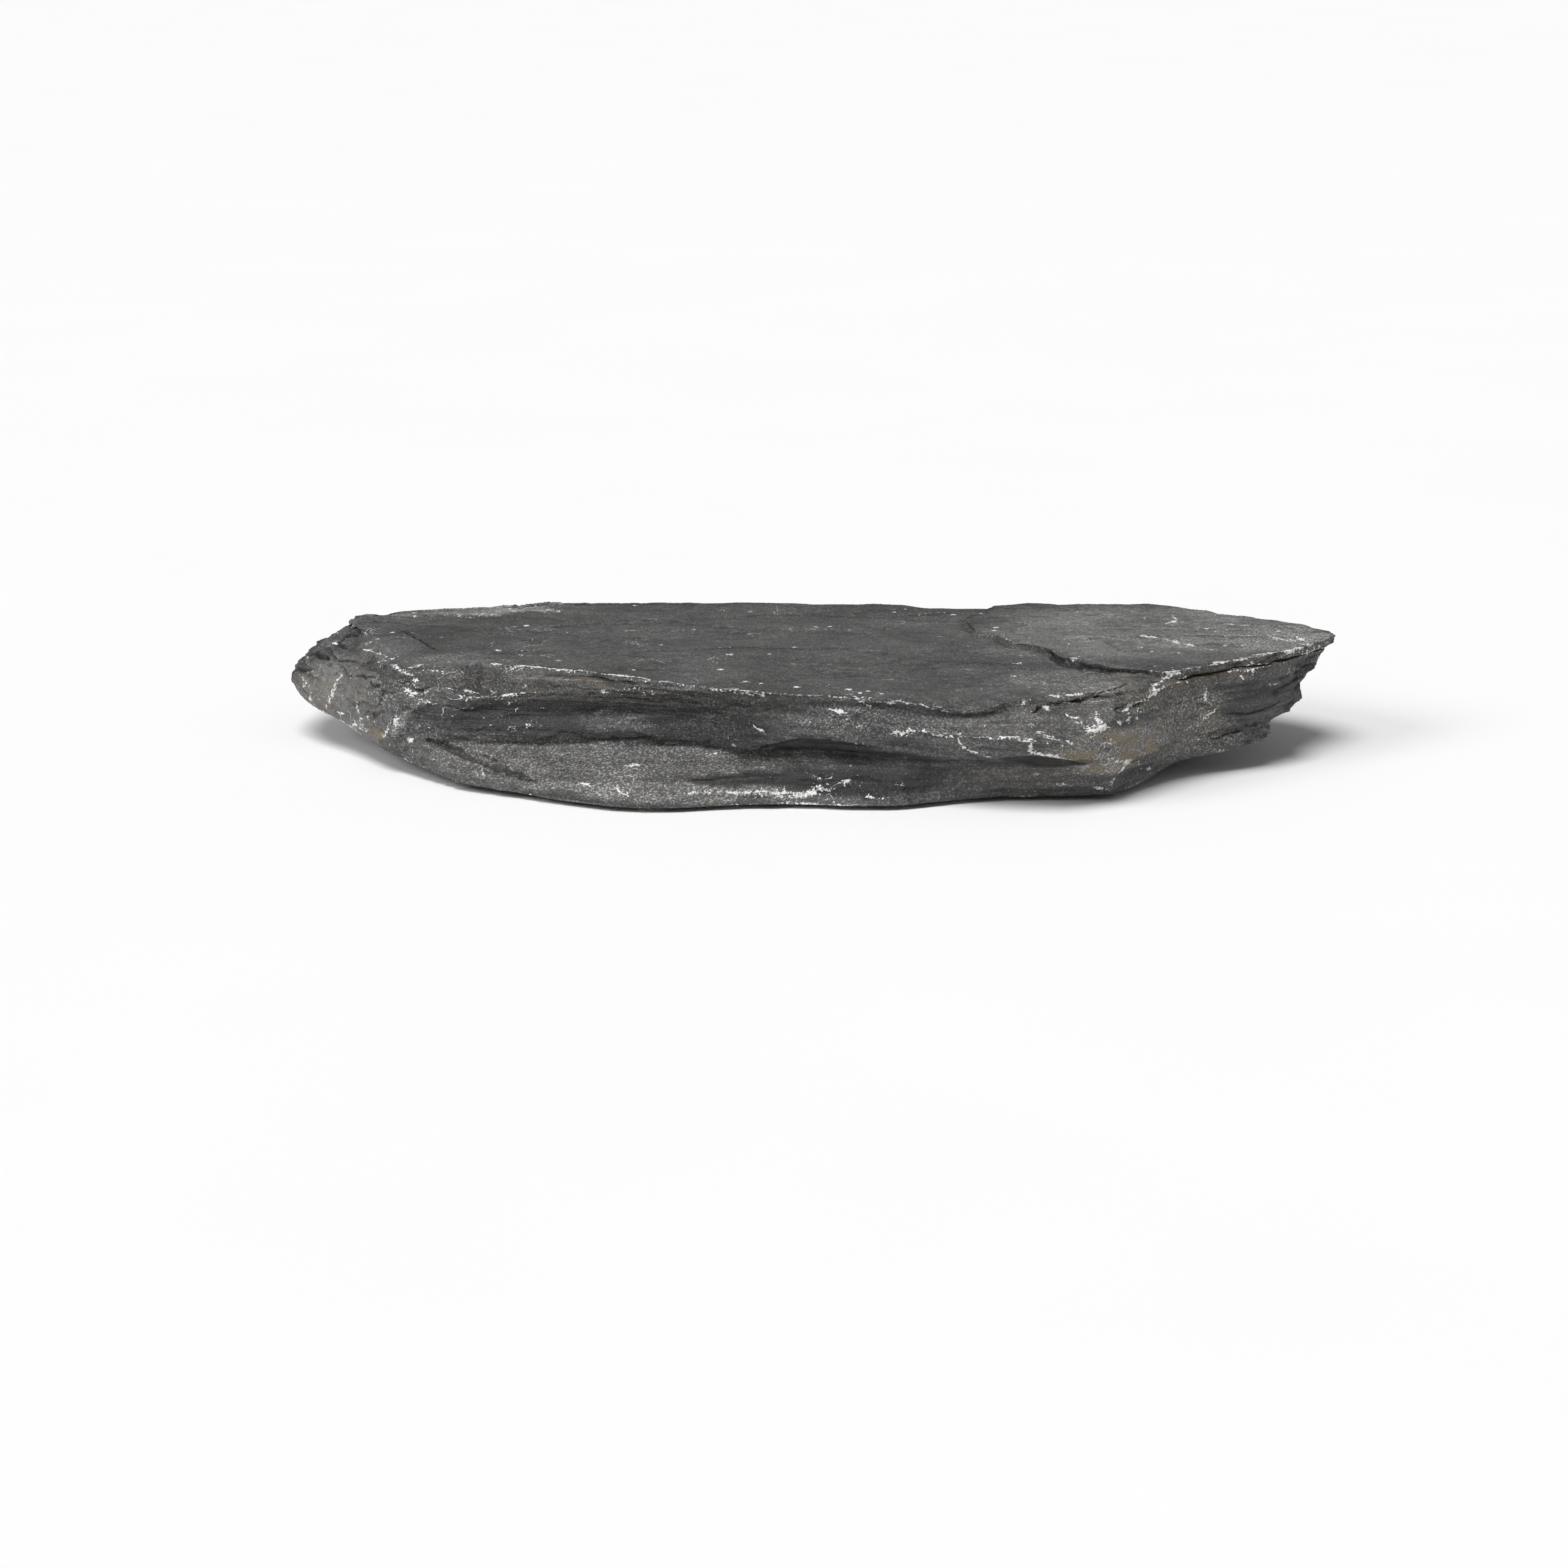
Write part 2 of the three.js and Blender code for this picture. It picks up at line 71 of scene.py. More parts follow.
# Size of the long and the short bends in the beds
LONG_BEND = (70, 50, 400)
SHORT_BEND = (17, 17, 400)

# Flakes: usual size of one in millimetres, how much its edges bend, seed, then depth of relief
LARGE_FLAKES = ((15, 15, 3.6), 0.3, 41)
LARGE_FLAKE_DEPTH = 0.6
SMALL_FLAKES = ((5.5, 5.5, 1.5), 0.3, 45)
SMALL_FLAKE_DEPTH = 0.28
CHIPS = ((5, 5, 3.2), 0.4, 47)
CHIP_DEPTH = 0.7
# Size of the bends in the edges of flakes
FLAKE_BEND = 6

# Noises over the stone: usual size of a bump in millimetres, and the seed
SPLIT_PATCHES = ((30, 30, 16), 11)
TOP_SHEETS = ((52, 19, 90), 51)
TOP_JAGS = ((9, 4, 90), 52)
SWELLS = ((14, 14, 7), 61)
PITS = ((1.6, 1.6, 1.0), 71)
TONE_PATCHES = ((22, 22, 7), 81)
GRAIN_PATCHES = ((12, 12, 5), 82)
RUST_PATCHES = ((20, 20, 6), 83)
BORDER_WAVES = ((7, 7, 3), 84)
LINE_BENDS = (3.5, 101)
LINE_JAGS = (1.3, 105)
SHEET_BENDS = ((8, 8, 50), 111)
SHEET_JAGS = ((2.6, 2.6, 50), 113)
# The ragged edge of the strip at the back left of the top, which is lowered and painted lighter as a
# strip of light: size of a jag in millimetres, its seed and its share
BACK_LEFT_STRIP_JAGS = [((9, 3, 50), 91, 1), ((2.5, 1.2, 50), 92, 0.6), ((1.2, 0.8, 50), 93, 0.4)]

# How far broken faces are split into beds: the least, and what patches add
LEAST_SPLIT = 0.3
PATCH_SPLIT = 0.3
# How far they are flaked: the least, what the back and the right end add, and what the left foot loses
LEAST_FLAKED = 0.45
MORE_FLAKED = 0.55
LEFT_FOOT_CALM = 0.5
# What the left steps add to the beds, and the far right to beds, sheets and large flakes
LEFT_BEDS = 1.4
RIGHT_BEDS = -0.5
RIGHT_SHEETS = 1.9
RIGHT_FLAKES = -0.6
# How far out the faces come to make up for their relief: all, flaked ones and both ends, in millimetres
FACE_SHIFT = 0.25
FLAKE_SHIFT = 0.3
END_SHIFT = 0.2

# Depths of relief, in millimetres: steps of the top, the lowered strip at the back left, swells and pits
TOP_STEP = 0.17
BACK_LEFT_STRIP_STEP = 0.3
SWELL_DEPTH = 0.12
PIT_DEPTH = 0.04
# How far in the swells lie, in millimetres
SWELL_SHIFT = 0.1
# How much of its upward direction a broken face keeps as it moves out
OUTWARD_UP = 0.15

# How far the edge of the thin sheet wanders, in its bends and in its jags, in millimetres
SHEET_BEND = 1.8
SHEET_JAG = 0.45

# The gap below the right rim: height of the rim's underside, the gap that stays and how much is filled
RIM_UNDERSIDE = 22.25
RIM_GAP = 0.15
RIM_FILL = 0.9

# How far drawn lines wander, in bends and in jags, in millimetres
LINE_BEND = 0.55
LINE_JAG = 0.25
# How far out a drawn line is known, in half widths of it
LINE_REACH = 5
# How far off the surface the points of a drawn line may be, in millimetres
LINE_SLACK = 1.5
# The mouth of a carved crack, as a share of its width
CRACK_MOUTH = 1.2

# Stretches along x, y or z over which something sets in: from none of it to all of it, in millimetres
SPLIT_END_X = (70, 88)
SPLIT_BACK_Y = (6, 20)
FLAKED_BACK_Y = (2, 14)
FAR_RIGHT_X = (66, 84)
LEFT_END_X = (-84, -92)
LEFT_STEPS_Z = (12.5, 15)
LEFT_FOOT_Z = (16, 12)
RIGHT_PLANE_Y = (3, -3)
SHEET_EDGE_Z = (20, 21.5)
RIM_LEDGE_X = (66, 72)
RIM_LEDGE_Z = (19.3, 20.7)
FRONT_Y = (4, -6)
TOP_Z = (19.5, 21.5)
# How far back the ledge under the right rim and the chipped left end go
RIM_LEDGE_BACK = 6
CHIPPED_BACK = 4
# The front's border turns back left of this x, by this much for each millimetre
LEFT_TURN_X = -80
LEFT_TURN = 0.45

# How level faces are, and for sides how far from level: from none of the kind to all of it
SIDE_FACES = (0.1, 0.7)
TOP_FACES = (0.82, 0.97)
UNDERSIDE_FACES = (0.6, 0.9)
CLEAVED_FACES = (0.75, 0.93)

# Ovals on the front: middle x and z, then half length and height
CHIPPED_LEFT = ((-88, 16), (11, 7))
PLAIN_LEFT = ((-98, 10), (12, 10))
RIGHT_PLANE = ((93, 15.5), (12, 5))
BEVEL_STREAKS = ((-45, 20.3), (34, 1.8))
SOFT_CREASE = ((-46, 9.4), (38, 2.5))

# Ovals on the top: middle x and y, then half length and depth
# The strip at the back left of the top is painted lighter, a painted strip of light
BACK_LEFT_STRIP_OVAL = ((-80, 43), (26, 11))
SHEET_EDGE = ((50, 8), (26, 40))

# What is lost: relief of the right plane, painted shade of the soft hollows, streaks of the plain left
RIGHT_PLANE_CALM = 0.65
HOLLOW_SHADE_CALM = 0.6
PLAIN_LEFT_CALM = 0.7
# How far a vertex stands out of its surroundings where an edge or hollow is marked in full
FULL_BULGE = 0.16
# The share that broad edges have, and how many half widths from a crack edges set in
BROAD_EDGE_SHARE = 0.8
EDGE_FROM_CRACK = (1.5, 4)

# Broken faces that no zone names: tone and how far it varies, grain and how far it varies, and rust
BROKEN_TONE = 0.085
BROKEN_TONE_SWING = 0.03
BROKEN_GRAIN = 0.55
BROKEN_GRAIN_SWING = 0.3
BROKEN_RUST = 0.12
# The top: tone, grain, streaks, and the painted light of the strip at its back left
TOP_TONE = 0.085
TOP_GRAIN = 0.4
TOP_STREAK = 0.3
LIT_STRIP_TONE = 0.28
# How far the borders of zones wave along x, y and z, in millimetres
WAVE_X = 2.2
WAVE_Y = 3
WAVE_Z = 0.9

# Noises in the materials: usual size of a bump in millimetres, detail and roughness
CLOUDS = ((16, 12, 8), 3, 0.5)
MOTTLE = ((2.2, 2.2, 1.4), 4, 0.6)
STREAKS = ((14, 14, 0.75), 3, 0.6)
TOP_STREAKS = ((7, 1.8, 30), 3, 0.6)
SPECKLE = ((0.5, 0.5, 0.4), 3, 0.7)
GLINTS = ((0.3, 0.3, 0.26), 2, 0.6)
PATCHES = ((13, 13, 6), 2, 0.5)
CRUMBS = ((0.6, 0.6, 0.5), 3, 0.7)
GAPS = ((3, 3, 2), 1, 0.5)
RIDGES = ((8, 8, 4), 1, 0.5)
RUST_BLOTCHES = ((5, 5, 2.5), 4, 0.5)
PAPER_CLOUDS = ((90, 90, 90), 2, 0.5)
# Usual size of the cells that specks of chalk lie in
SPECK_CELLS = (2.6, 2.6, 1.9)

# How far clouds, mottle and the streaks of the top swing the brightness, up and down
CLOUD_SWING = 0.2
MOTTLE_SWING = 0.25
TOP_STREAK_SWING = 0.12
# How strongly streaks, grains, and the painted shade of hollows and cracks change the brightness, and
# what is left between grains
STREAK_STRENGTH = 0.9
LIGHT_GRAIN_STRENGTH = 2.5
DARK_GRAIN_STRENGTH = 0.45
HOLLOW_SHADE_STRENGTH = 0.65
CRACK_SHADE_STRENGTH = 0.72
BETWEEN_GRAINS = 0.7

# Where a pattern turns into a mark: from none of it to all of it
BRIGHTNESS_SPAN = (0.25, 0.75)
STRIPE_SPAN = (0.3, 0.7)
GLOSS_SPAN = (0.3, 0.7)
LIGHT_GRAIN = (0.5, 0.66)
DARK_GRAIN = (0.5, 0.36)
CRACK_LINE = (1.5, 0.6)
CRACK_NEAR = (0.5, 0.7)
RUSTY = (0.35, 0.65)
EDGE_CHALK = (1.12, 1.34)
LINE_CHALK = (0.9, 0.65)
LINE_CRUMBS = (0.45, 0.5)
LINE_CORE = (0.6, 0.35)
CORE_CRUMBS = (0.9, 1.02)
LINE_NEAR = (0.4, 0.55)
SPECK_CHANCE = (0.84, 0.88)
SPECK_PATCHES = (0.46, 0.56)
SPECK_EDGE = (0.05, -0.05)
SCRATCH_LINE = (0.006, 0.002)
SCRATCH_CLOUDS = (0.6, 0.66)
SCRATCH_CRUMBS = (0.42, 0.52)
SCRATCH_CLEAR = (0.15, 0.0)
GLINT = (0.63, 0.72)

# How far crumbs, patches and gaps swing the borders of chalk
EDGE_CRUMB_SWING = 3.8
EDGE_PATCH_SWING = 2.8
LINE_GAP_SWING = 4.0
SPECK_CRUMB_SWING = 1.2
# How far out of a line its crumbs lie, in half widths: for one unit of their noise, and at its 0
LINE_CRUMB_REACH = (8.0, -4.5)
# Half the size of a speck, as a share of its cell: how far it varies, and the least
SPECK_SIZE = (0.22, 0.02)

# Colours of rust and chalk, the chalk colour also laying in the painted glints, how much of each is laid
# on, and how bright a line's core and a painted glint are
RUST_COLOUR = (0.185, 0.148, 0.09, 1)
CHALK_COLOUR = (0.82, 0.82, 0.81, 1)
RUST_SHARE = 0.9
CHALK_SHARE = 0.94
CORE_SHARE = 0.7
GLINT_SHARE = 0.55
# Green and blue of slate, as shares of its red
SLATE_GREEN = 0.995
SLATE_BLUE = 0.975

# Roughness of slate in its clouds, what chalk adds to it, and the shine of slate
SLATE_ROUGHNESS = (0.5, 0.66)
CHALK_ROUGHNESS = 0.25
SLATE_SHINE = 0.5
# Fine relief in the shading, in metres, and how much chalk stands out in it
STREAK_BUMP = 0.00045
MOTTLE_BUMP = 0.0004
GRAIN_BUMP = 0.00018
CHALK_BUMP = 0.00006
CHALK_HEIGHT = 0.6

# The floor: half its length in metres, its colours, roughness and shine, and the light all round
FLOOR_HALF = 6.0
FLOOR_DARK = (0.87, 0.87, 0.87, 1)
FLOOR_LIGHT = (0.89, 0.89, 0.89, 1)
FLOOR_ROUGHNESS = 0.9
FLOOR_SHINE = 0.1
SKY_STRENGTH = 0.24

# Places on the front where the shape is worn soft: middle x and z, half length and height, rounds
WORN_PLACES = [
    ("low front", 2, 5, 9, 3, 12),
    ("crease above the ledge", -43, 9.5, 36, 2, 20),
    ("under the swelling", 6, 10, 18, 2, 16),
    ("rim, right", 30, 20, 10, 2, 10),
    ("right face", 90, 14.5, 9, 4, 10),
]

# Zones of the broken faces, some of them with painted light and shade: middle x and z, half length and
# height, rise along x, tone, grain, rust
FRONT_ZONES = [
    # The left face and its tip are lighter partly in their own colour and partly as painted light from
    # the left
    ("left_face", -99, 12, 11, 12, 0, 0.15, 0.28, 0.14),
    ("left_tip", -105, 12.5, 6.5, 4.5, 0, 0.175, 0.3, 0.3),
    ("left_speckled", -84, 16, 6, 6, 0, 0.118, 0.9, 0),
    ("left_terrace", -101, 17.4, 4, 1.6, 0, 0.18, 0.3, 0.1),
    ("left_dark", -88, 20.2, 5.5, 1.3, 0, 0.06, 0.5, 0),
    ("yellow_spot", -89.5, 7.4, 1.7, 1.4, 0, 0.13, 0.4, 0.7),
    # Painted highlight: a light streak along the ridge of the left corner
    ("corner_strip", -82.5, 12.5, 4.5, 1.3, 0.95, 0.24, 0.7, 0.1),
    ("bevel", -45, 19.6, 36, 1.7, 0, 0.04, 1, 0.15),
    ("bevel_streak", -48, 21, 9, 0.4, -0.02, 0.11, 0.5, 0.5),
    ("rim_brown", -6, 20.3, 4, 1.1, 0, 0.07, 0.4, 0.8),
    # The dark band is darker partly in its own colour and partly as painted shade
    ("dark_band", -42, 13.8, 38, 4.2, 0, 0.026, 0.35, 0),
    ("band_patch", -40, 13.6, 8, 2.2, 0, 0.06, 0.9, 0),
    ("band_end", -20, 13.5, 7, 3.2, 0, 0.045, 0.8, 0),
    # Painted shade in the crease under the overhang above the ledge
    ("crease", -46, 9.4, 26, 0.7, 0, 0.045, 0.5, 0),
    ("lower_ledge", -40, 6, 37, 3.6, 0, 0.107, 1, 0.12),
    ("ledge_foot", -30, 2.8, 32, 1.2, 0, 0.15, 1, 0.1),
    # Painted shade under the swelling, and a painted shadow along the low middle
    ("under_swelling", 16, 9.3, 14, 1.7, 0, 0.05, 0.5, 0),
    ("low_middle", 9, 5, 18, 2.6, 0, 0.016, 0.4, 0),
    ("swelling", 14, 17.2, 17, 2.6, 0, 0.074, 1, 0),
    # Painted shade in the hollow of the cavity, and a painted shadow in the wedge
    ("cavity", 1, 11.4, 12, 1.3, 0.03, 0.055, 0.1, 0),
    ("wedge", -11, 4.9, 14, 1.1, 0.02, 0.024, 0.15, 0),
    ("right_facet", 44, 18, 15, 2.6, 0, 0.096, 0.6, 0.1),
    ("below_recess", 42, 5.5, 12, 3, 0, 0.1, 0.5, 0.15),
    ("corner", 61, 11.5, 14, 4.6, 0, 0.22, 0.9, 1),
    # Painted shadow in the recess under the shelf of the facet
    ("recess", 46.5, 9.9, 9.5, 1.3, -0.04, 0.012, 0.1, 0.05),
    ("recess_end", 52.5, 10, 3.5, 0.9, -0.04, 0.03, 0.2, 0.4),
    ("right_shoulder", 68, 20.5, 13, 2, 0, 0.095, 0.8, 0.28),
    ("right_grainy", 78, 14, 9, 5, 0, 0.132, 1, 0.35),
    ("right_smooth", 95, 14.5, 11, 5, 0, 0.069, 0.3, 0),
    ("right_low", 80, 7, 10, 2.2, 0, 0.125, 0.8, 0.1),
    ("right_rim", 85, 21.9, 16, 1.5, 0, 0.058, 0.8, 0.3),
]

# Zones of the cleaved top, two of them with painted light and shade: middle x and y, half length and
# depth, tone, grain
TOP_ZONES = [
    # Painted shadow: the left of the top is laid in darker, with a painted patch of light in it at
    # left_patch
    ("left", -74, 8, 18, 18, 0.066, 0.35),
    ("left_patch", -87, 3, 7, 11, 0.115, 0.5),
    ("middle", -10, -2, 60, 30, 0.092, 0.4),
    ("left_rim", -72, -9, 12, 6, 0.125, 0.6),
    ("right_rim", 53, -27, 15, 10, 0.135, 0.55),
    ("right_sheet", 72, 12, 34, 26, 0.185, 0.33),
    ("sheet_end", 84, 10, 12, 14, 0.2, 0.4),
    ("right_tip", 97, 6, 13, 13, 0.215, 0.7),
]

# Chalky lines: where, width, then the points
CHALK_LINES = [
    ("left face", 0.5, (-98, 1, 16.5), (-100, 0.5, 12.5), (-101.5, 1.5, 9.5)),
    ("left face, low", 1.1, (-99.5, 0, 13.5), (-100.5, 1, 11)),
    ("left face, dots", 0.9, (-94, -7, 11.5), (-94.5, -6.5, 13)),
    ("left face, low dot", 0.8, (-99, -0.5, 9.5), (-98, -2, 9.5)),
    ("left corner", 1.5, (-87, -15.5, 8.5), (-85, -16.5, 11)),
    ("left top, diagonal", 0.3, (-94.5, 8, 21), (-91, 10.5, 22.5)),
    ("left top, crumbs", 0.4, (-94.5, 8, 21), (-90, 0, 22), (-86.5, -6.5, 22)),
    ("left rim", 0.9, (-85, -11, 22), (-83, -15, 21.5), (-81.5, -15.5, 21)),
    ("left rim, end", 0.4, (-82, -13.5, 22.5), (-78, -13.5, 22.5)),
    ("left ring", 0.8, (-83, -16, 18), (-81, -17.5, 17.5), (-78.5, -18.5, 18)),
    ("bevel crumbs", 0.45, (-73, -19.5, 19), (-67, -19.5, 18)),
    ("rim, left half", 0.8, (-64.5, -12.5, 22.5), (-55, -16.5, 22.5), (-44.5, -20, 22.5),
     (-34.5, -24, 22.5)),
    ("rim, middle", 0.6, (-34.5, -24, 22.5), (-26, -30, 22.5), (-18, -34, 22.5), (-10, -36.5, 22.5)),
    ("rim, knot", 1.2, (-12, -36, 22.5), (-9, -37, 22.5)),
    ("rim, right half", 0.6, (-2, -39, 22.5), (8, -39.5, 22), (16, -40.5, 21)),
    ("rim, arc", 0.22, (7, -39, 22.5), (9.5, -37, 22.5), (12, -35.5, 22.5), (14.5, -38, 22.5),
     (16.5, -41, 22)),
    ("rim, fork", 0.7, (9.5, -39.5, 21.5), (11.5, -39, 20)),
    ("rim, far right", 0.5, (16, -41, 21.5), (20.5, -42, 21.5), (27.5, -43, 20)),
    ("swelling, top", 0.7, (3.5, -38.5, 19.5), (6.5, -39, 19)),
    ("swelling", 1, (17, -41.5, 15.5), (22.5, -43.5, 16)),
    ("below the bevel", 0.4, (-11, -34.5, 15), (-9.5, -35, 14)),
    ("facet, left edge", 0.7, (25.5, -44.5, 15.5), (29.5, -45.5, 16)),
    ("facet, drop", 0.7, (29, -45.5, 15), (31, -45, 12.5), (35.5, -45.5, 11.5)),
    ("facet, middle", 0.6, (37.5, -47.5, 16), (40, -48, 16)),
    ("facet, right drop", 1, (43.5, -48.5, 16), (43.5, -47.5, 13), (49, -47, 12)),
    ("facet end", 2.6, (56, -45.5, 17), (58, -44.5, 17)),
    ("facet end, top", 1.2, (57, -41.5, 19), (57.5, -42.5, 18.5)),
    ("right of the facet", 1, (61, -42, 17.5), (63.5, -39, 17.5)),
    ("dotted", 0.6, (61.5, -38, 19), (66, -35.5, 20.5)),
    ("corner to rim", 1.1, (68, -33.5, 20.5), (69.5, -28, 22), (74.5, -23.5, 24)),
    ("right rim", 0.65, (74.5, -23.5, 24), (84, -17.5, 24), (93.5, -11, 24), (102, -4, 24)),
    ("corner", 1, (59.5, -38, 2.5), (60.5, -38, 4.5), (61.5, -38, 6), (62.5, -38, 7)),
    ("corner, dab", 1, (58, -38.5, 3), (59.5, -38, 2.5)),
    ("corner, second dab", 1, (63, -38, 6), (63.5, -38, 7)),
    ("corner, cross", 0.8, (61, -41, 9.5), (65, -34.5, 8)),
    ("low front", 1, (-23, -41, 3), (-10, -41, 3), (1.5, -42, 3)),
    ("low front, end", 1.5, (-6.5, -41.5, 3), (0.5, -42, 3.5)),
    ("low front, right", 0.8, (12, -43.5, 2.5), (15, -43.5, 2.5)),
    ("ledge, first stroke", 0.5, (-45.5, -37, 4), (-42, -40.5, 2.5)),
    ("ledge, second stroke", 0.55, (-38.5, -39, 4), (-36.5, -42, 2.5)),
    ("ledge, dash", 0.7, (-20.5, -31, 8), (-16.5, -30, 8.5)),
    ("ledge, spot", 1.4, (-36, -32, 6.5), (-34.5, -32, 6.5)),
    ("top sheet, hook", 1.2, (78.5, 26.5, 23.5), (79, 22.5, 23.5), (77.5, 20.5, 23.5)),
    ("top sheet, smear", 1.8, (76, 4, 24), (79.5, -0.5, 24)),
    ("top sheet, dash", 1.1, (90, 18.5, 24), (92.5, 18, 24)),
    ("top sheet, crumbs", 1.2, (71, 8.5, 24), (73.5, 7.5, 24)),
    ("top sheet, near the rim", 0.8, (83, -4, 24), (84.5, -5, 24)),
    ("right tip, rim", 1.7, (99, -6, 24), (104.5, -0.5, 24)),
    ("right tip, first", 2, (98, 6.5, 24), (99.5, 4.5, 24)),
    ("right tip, second", 1.7, (103, 5, 24), (104.5, 1, 24)),
    ("right tip, third", 1.2, (92, -10, 24), (95, -8.5, 24)),
    ("right face, smudge", 2, (79, -22.5, 12.5), (81, -21.5, 13.5)),
    ("right face, dab", 0.9, (80.5, -22, 17.5), (80.5, -22, 18.5)),
    ("right face, dot", 0.9, (95, -13, 18), (96, -13, 18)),
    ("facet, faint", 0.25, (44, -47, 17), (48, -47.5, 16), (52, -47.5, 14.5)),
    ("above the facet", 0.8, (51.5, -42, 19), (53, -42, 18.5)),
    ("top, along the front", 0.8, (48.5, -37.5, 22), (55, -36, 22.5)),
]

# Hairline cracks, carved and darkened with painted shade: where, width, depth, then the points
CRACKS = [
    ("top sheet", 0.7, 0.4, (48.5, -5, 23), (52, -11.5, 23), (56, -17.5, 23), (62, -21.5, 23),
     (68, -23.5, 23)),
    ("top left", 0.75, 0.35, (-88, 22, 22.5), (-84, 14.5, 22.5), (-80.5, 6.5, 22.5), (-77, -1, 22.5)),
    ("front rim", 0.6, 0.5, (43.5, -43, 20), (48.5, -39, 20.5), (55, -36.5, 21), (60, -34, 22.5),
     (64.5, -28, 22.5)),
    ("left terrace, low", 1.1, 0.55, (-109, 25, 15.5), (-105.5, 19, 17.5), (-101.5, 11, 18)),
    ("left terrace, high", 1.2, 0.6, (-105, 21.5, 18.5), (-101.5, 21.5, 19.5), (-97.5, 12.5, 20)),
    ("left terrace, right", 0.8, 0.4, (-99.5, 7.5, 18.5), (-97, 5, 19), (-94.5, 1.5, 19.5)),
    ("left terrace, top", 1.1, 0.5, (-100.5, 20, 20), (-99, 26.5, 20), (-94, 20.5, 22)),
    ("left tip", 0.9, 0.4, (-110, 17.5, 13.5), (-108.5, 15.5, 15), (-105, 10.5, 15.5)),
    ("left middle", 0.7, 0.35, (-94.5, -3.5, 18), (-92, -6.5, 18.5), (-89.5, -10, 18.5)),
    ("left middle, low", 0.8, 0.35, (-91, -9, 17.5), (-89, -12, 17)),
    ("ledge top", 0.5, 0.3, (-43.5, -25, 9.5), (-36.5, -27, 10), (-30.5, -28, 10.5)),
    ("ledge, diagonal", 0.8, 0.35, (-78, -20, 8), (-74.5, -21.5, 7.5), (-69.5, -24.5, 6),
     (-62.5, -28.5, 4.5), (-55, -33.5, 3.5)),
    # The recess crack is also darkened as a painted shadow under the shelf
    ("recess", 1.8, 0.8, (36.5, -45, 10.5), (41, -46, 10), (45.5, -46, 10), (50.5, -45.5, 9.5),
     (54.5, -44.5, 9)),
    ("bevel, high", 0.5, 0.3, (-51, -19, 21.5), (-42.5, -22.5, 21.5), (-34, -26.5, 21.5)),
    ("bevel, low", 0.4, 0.25, (-56, -20, 20.5), (-50.5, -21, 20), (-42.5, -24, 20)),
    ("right face", 0.5, 0.25, (84.5, -19, 13), (89.5, -16.5, 13), (94.5, -14.5, 13.5), (97, -12, 14.5)),
    ("right face, low", 0.4, 0.4, (81.5, -19.5, 8), (85.5, -17, 8.5), (89.5, -15, 9)),
    ("low front", 0.4, 0.3, (-2, -41, 4.5), (7, -40, 5), (16, -41, 6)),
    ("over the hollow", 0.9, 0.4, (-10.5, -33.5, 9.5), (-6.5, -36.5, 11.5), (-2, -38.5, 12.5),
     (3.5, -39.5, 13), (8, -39.5, 12.5)),
]

# Soft dents, and a ridge where the depth is negative: where, width, depth, then the points
GROOVES = [
    ("ledge, diagonal", 2.4, 0.7, (-78, -20, 8), (-69.5, -24.5, 6), (-62.5, -28.5, 4.5),
     (-55, -33.5, 3.5)),
    ("below the overhang", 3, 0.5, (-9, -36.5, 10), (0, -38.5, 11), (9, -40, 11)),
    ("dark band", 2.6, 0.35, (-70, -21, 14.5), (-52, -22, 15), (-34, -25.5, 15)),
    ("low middle", 2.2, 0.3, (2, -40, 7), (14, -41, 7.5), (26, -42.5, 7.5)),
    ("top sheet", 5, 0.35, (70, 18, 23.5), (86, 14, 24)),
    ("top, left", 6, 0.3, (-60, 10, 22.5), (-36, 2, 22.5)),
    ("top, back", 5, 0.3, (-20, 22, 22.5), (12, 16, 22.5)),
    ("left corner", 1.6, -0.35, (-89, -12.5, 6), (-85.5, -16, 9.5), (-82, -18, 13), (-78.5, -19.5, 17)),
]


# Noise and zones

def unit(vectors):
    """The vectors at length 1."""
    length = np.linalg.norm(vectors, axis=1, keepdims=True)
    return vectors / np.maximum(length, 1e-9)


def noise(points, size, seed):
    """Smooth noise from about -1 to 1, with bumps of this size."""
    count = 256
    gain = 1.7
    rng = np.random.default_rng(seed)
    slopes = unit(rng.normal(size=(count, 3)))
    order = rng.permutation(count)
    scaled = points / size
    cell = np.floor(scaled).astype(int)
    inside = scaled - cell
    fade = inside ** 3 * (inside * (inside * 6 - 15) + 10)
    total = np.zeros(len(points))
    for corner in itertools.product((0, 1), repeat=3):
        at = (cell + corner) % count
        pick = order[(order[(order[at[:, 0]] + at[:, 1]) % count] + at[:, 2]) % count]
        weight = np.prod(np.where(corner, fade, 1 - fade), axis=1)
        total += weight * np.einsum("ij,ij->i", slopes[pick], inside - corner)
    return total * gain


def layered_noise(points, size, seed, octaves=3):
    """Noise with finer and weaker copies of itself added."""
    total = np.zeros(len(points))
    for k in range(octaves):
        total += noise(points * 2 ** k, size, seed + k) * 0.5 ** k
    return total


def noise_vectors(points, size, seed, axes=3):
    """Noise along each of the axes, each with a seed of its own."""
    return np.stack([noise(points, size, seed + k) for k in range(axes)], 1)


def smooth_step(low, high, value):
    """0 at low, 1 at high, and a smooth slope between them."""
    t = np.clip((value - low) / (high - low), 0, 1)
    return t * t * (3 - 2 * t)


def oval_distance(across, up, middle, half):
    """Distance from an oval's middle, which is 1 on the oval."""
    return np.hypot((across - middle[0]) / half[0], (up - middle[1]) / half[1])


def zone_share(across, up, middle, half):
    """1 inside an oval, falling to 0 outside it."""
    return smooth_step(1.25, 0.75, oval_distance(across, up, middle, half))


# Mesh arrays

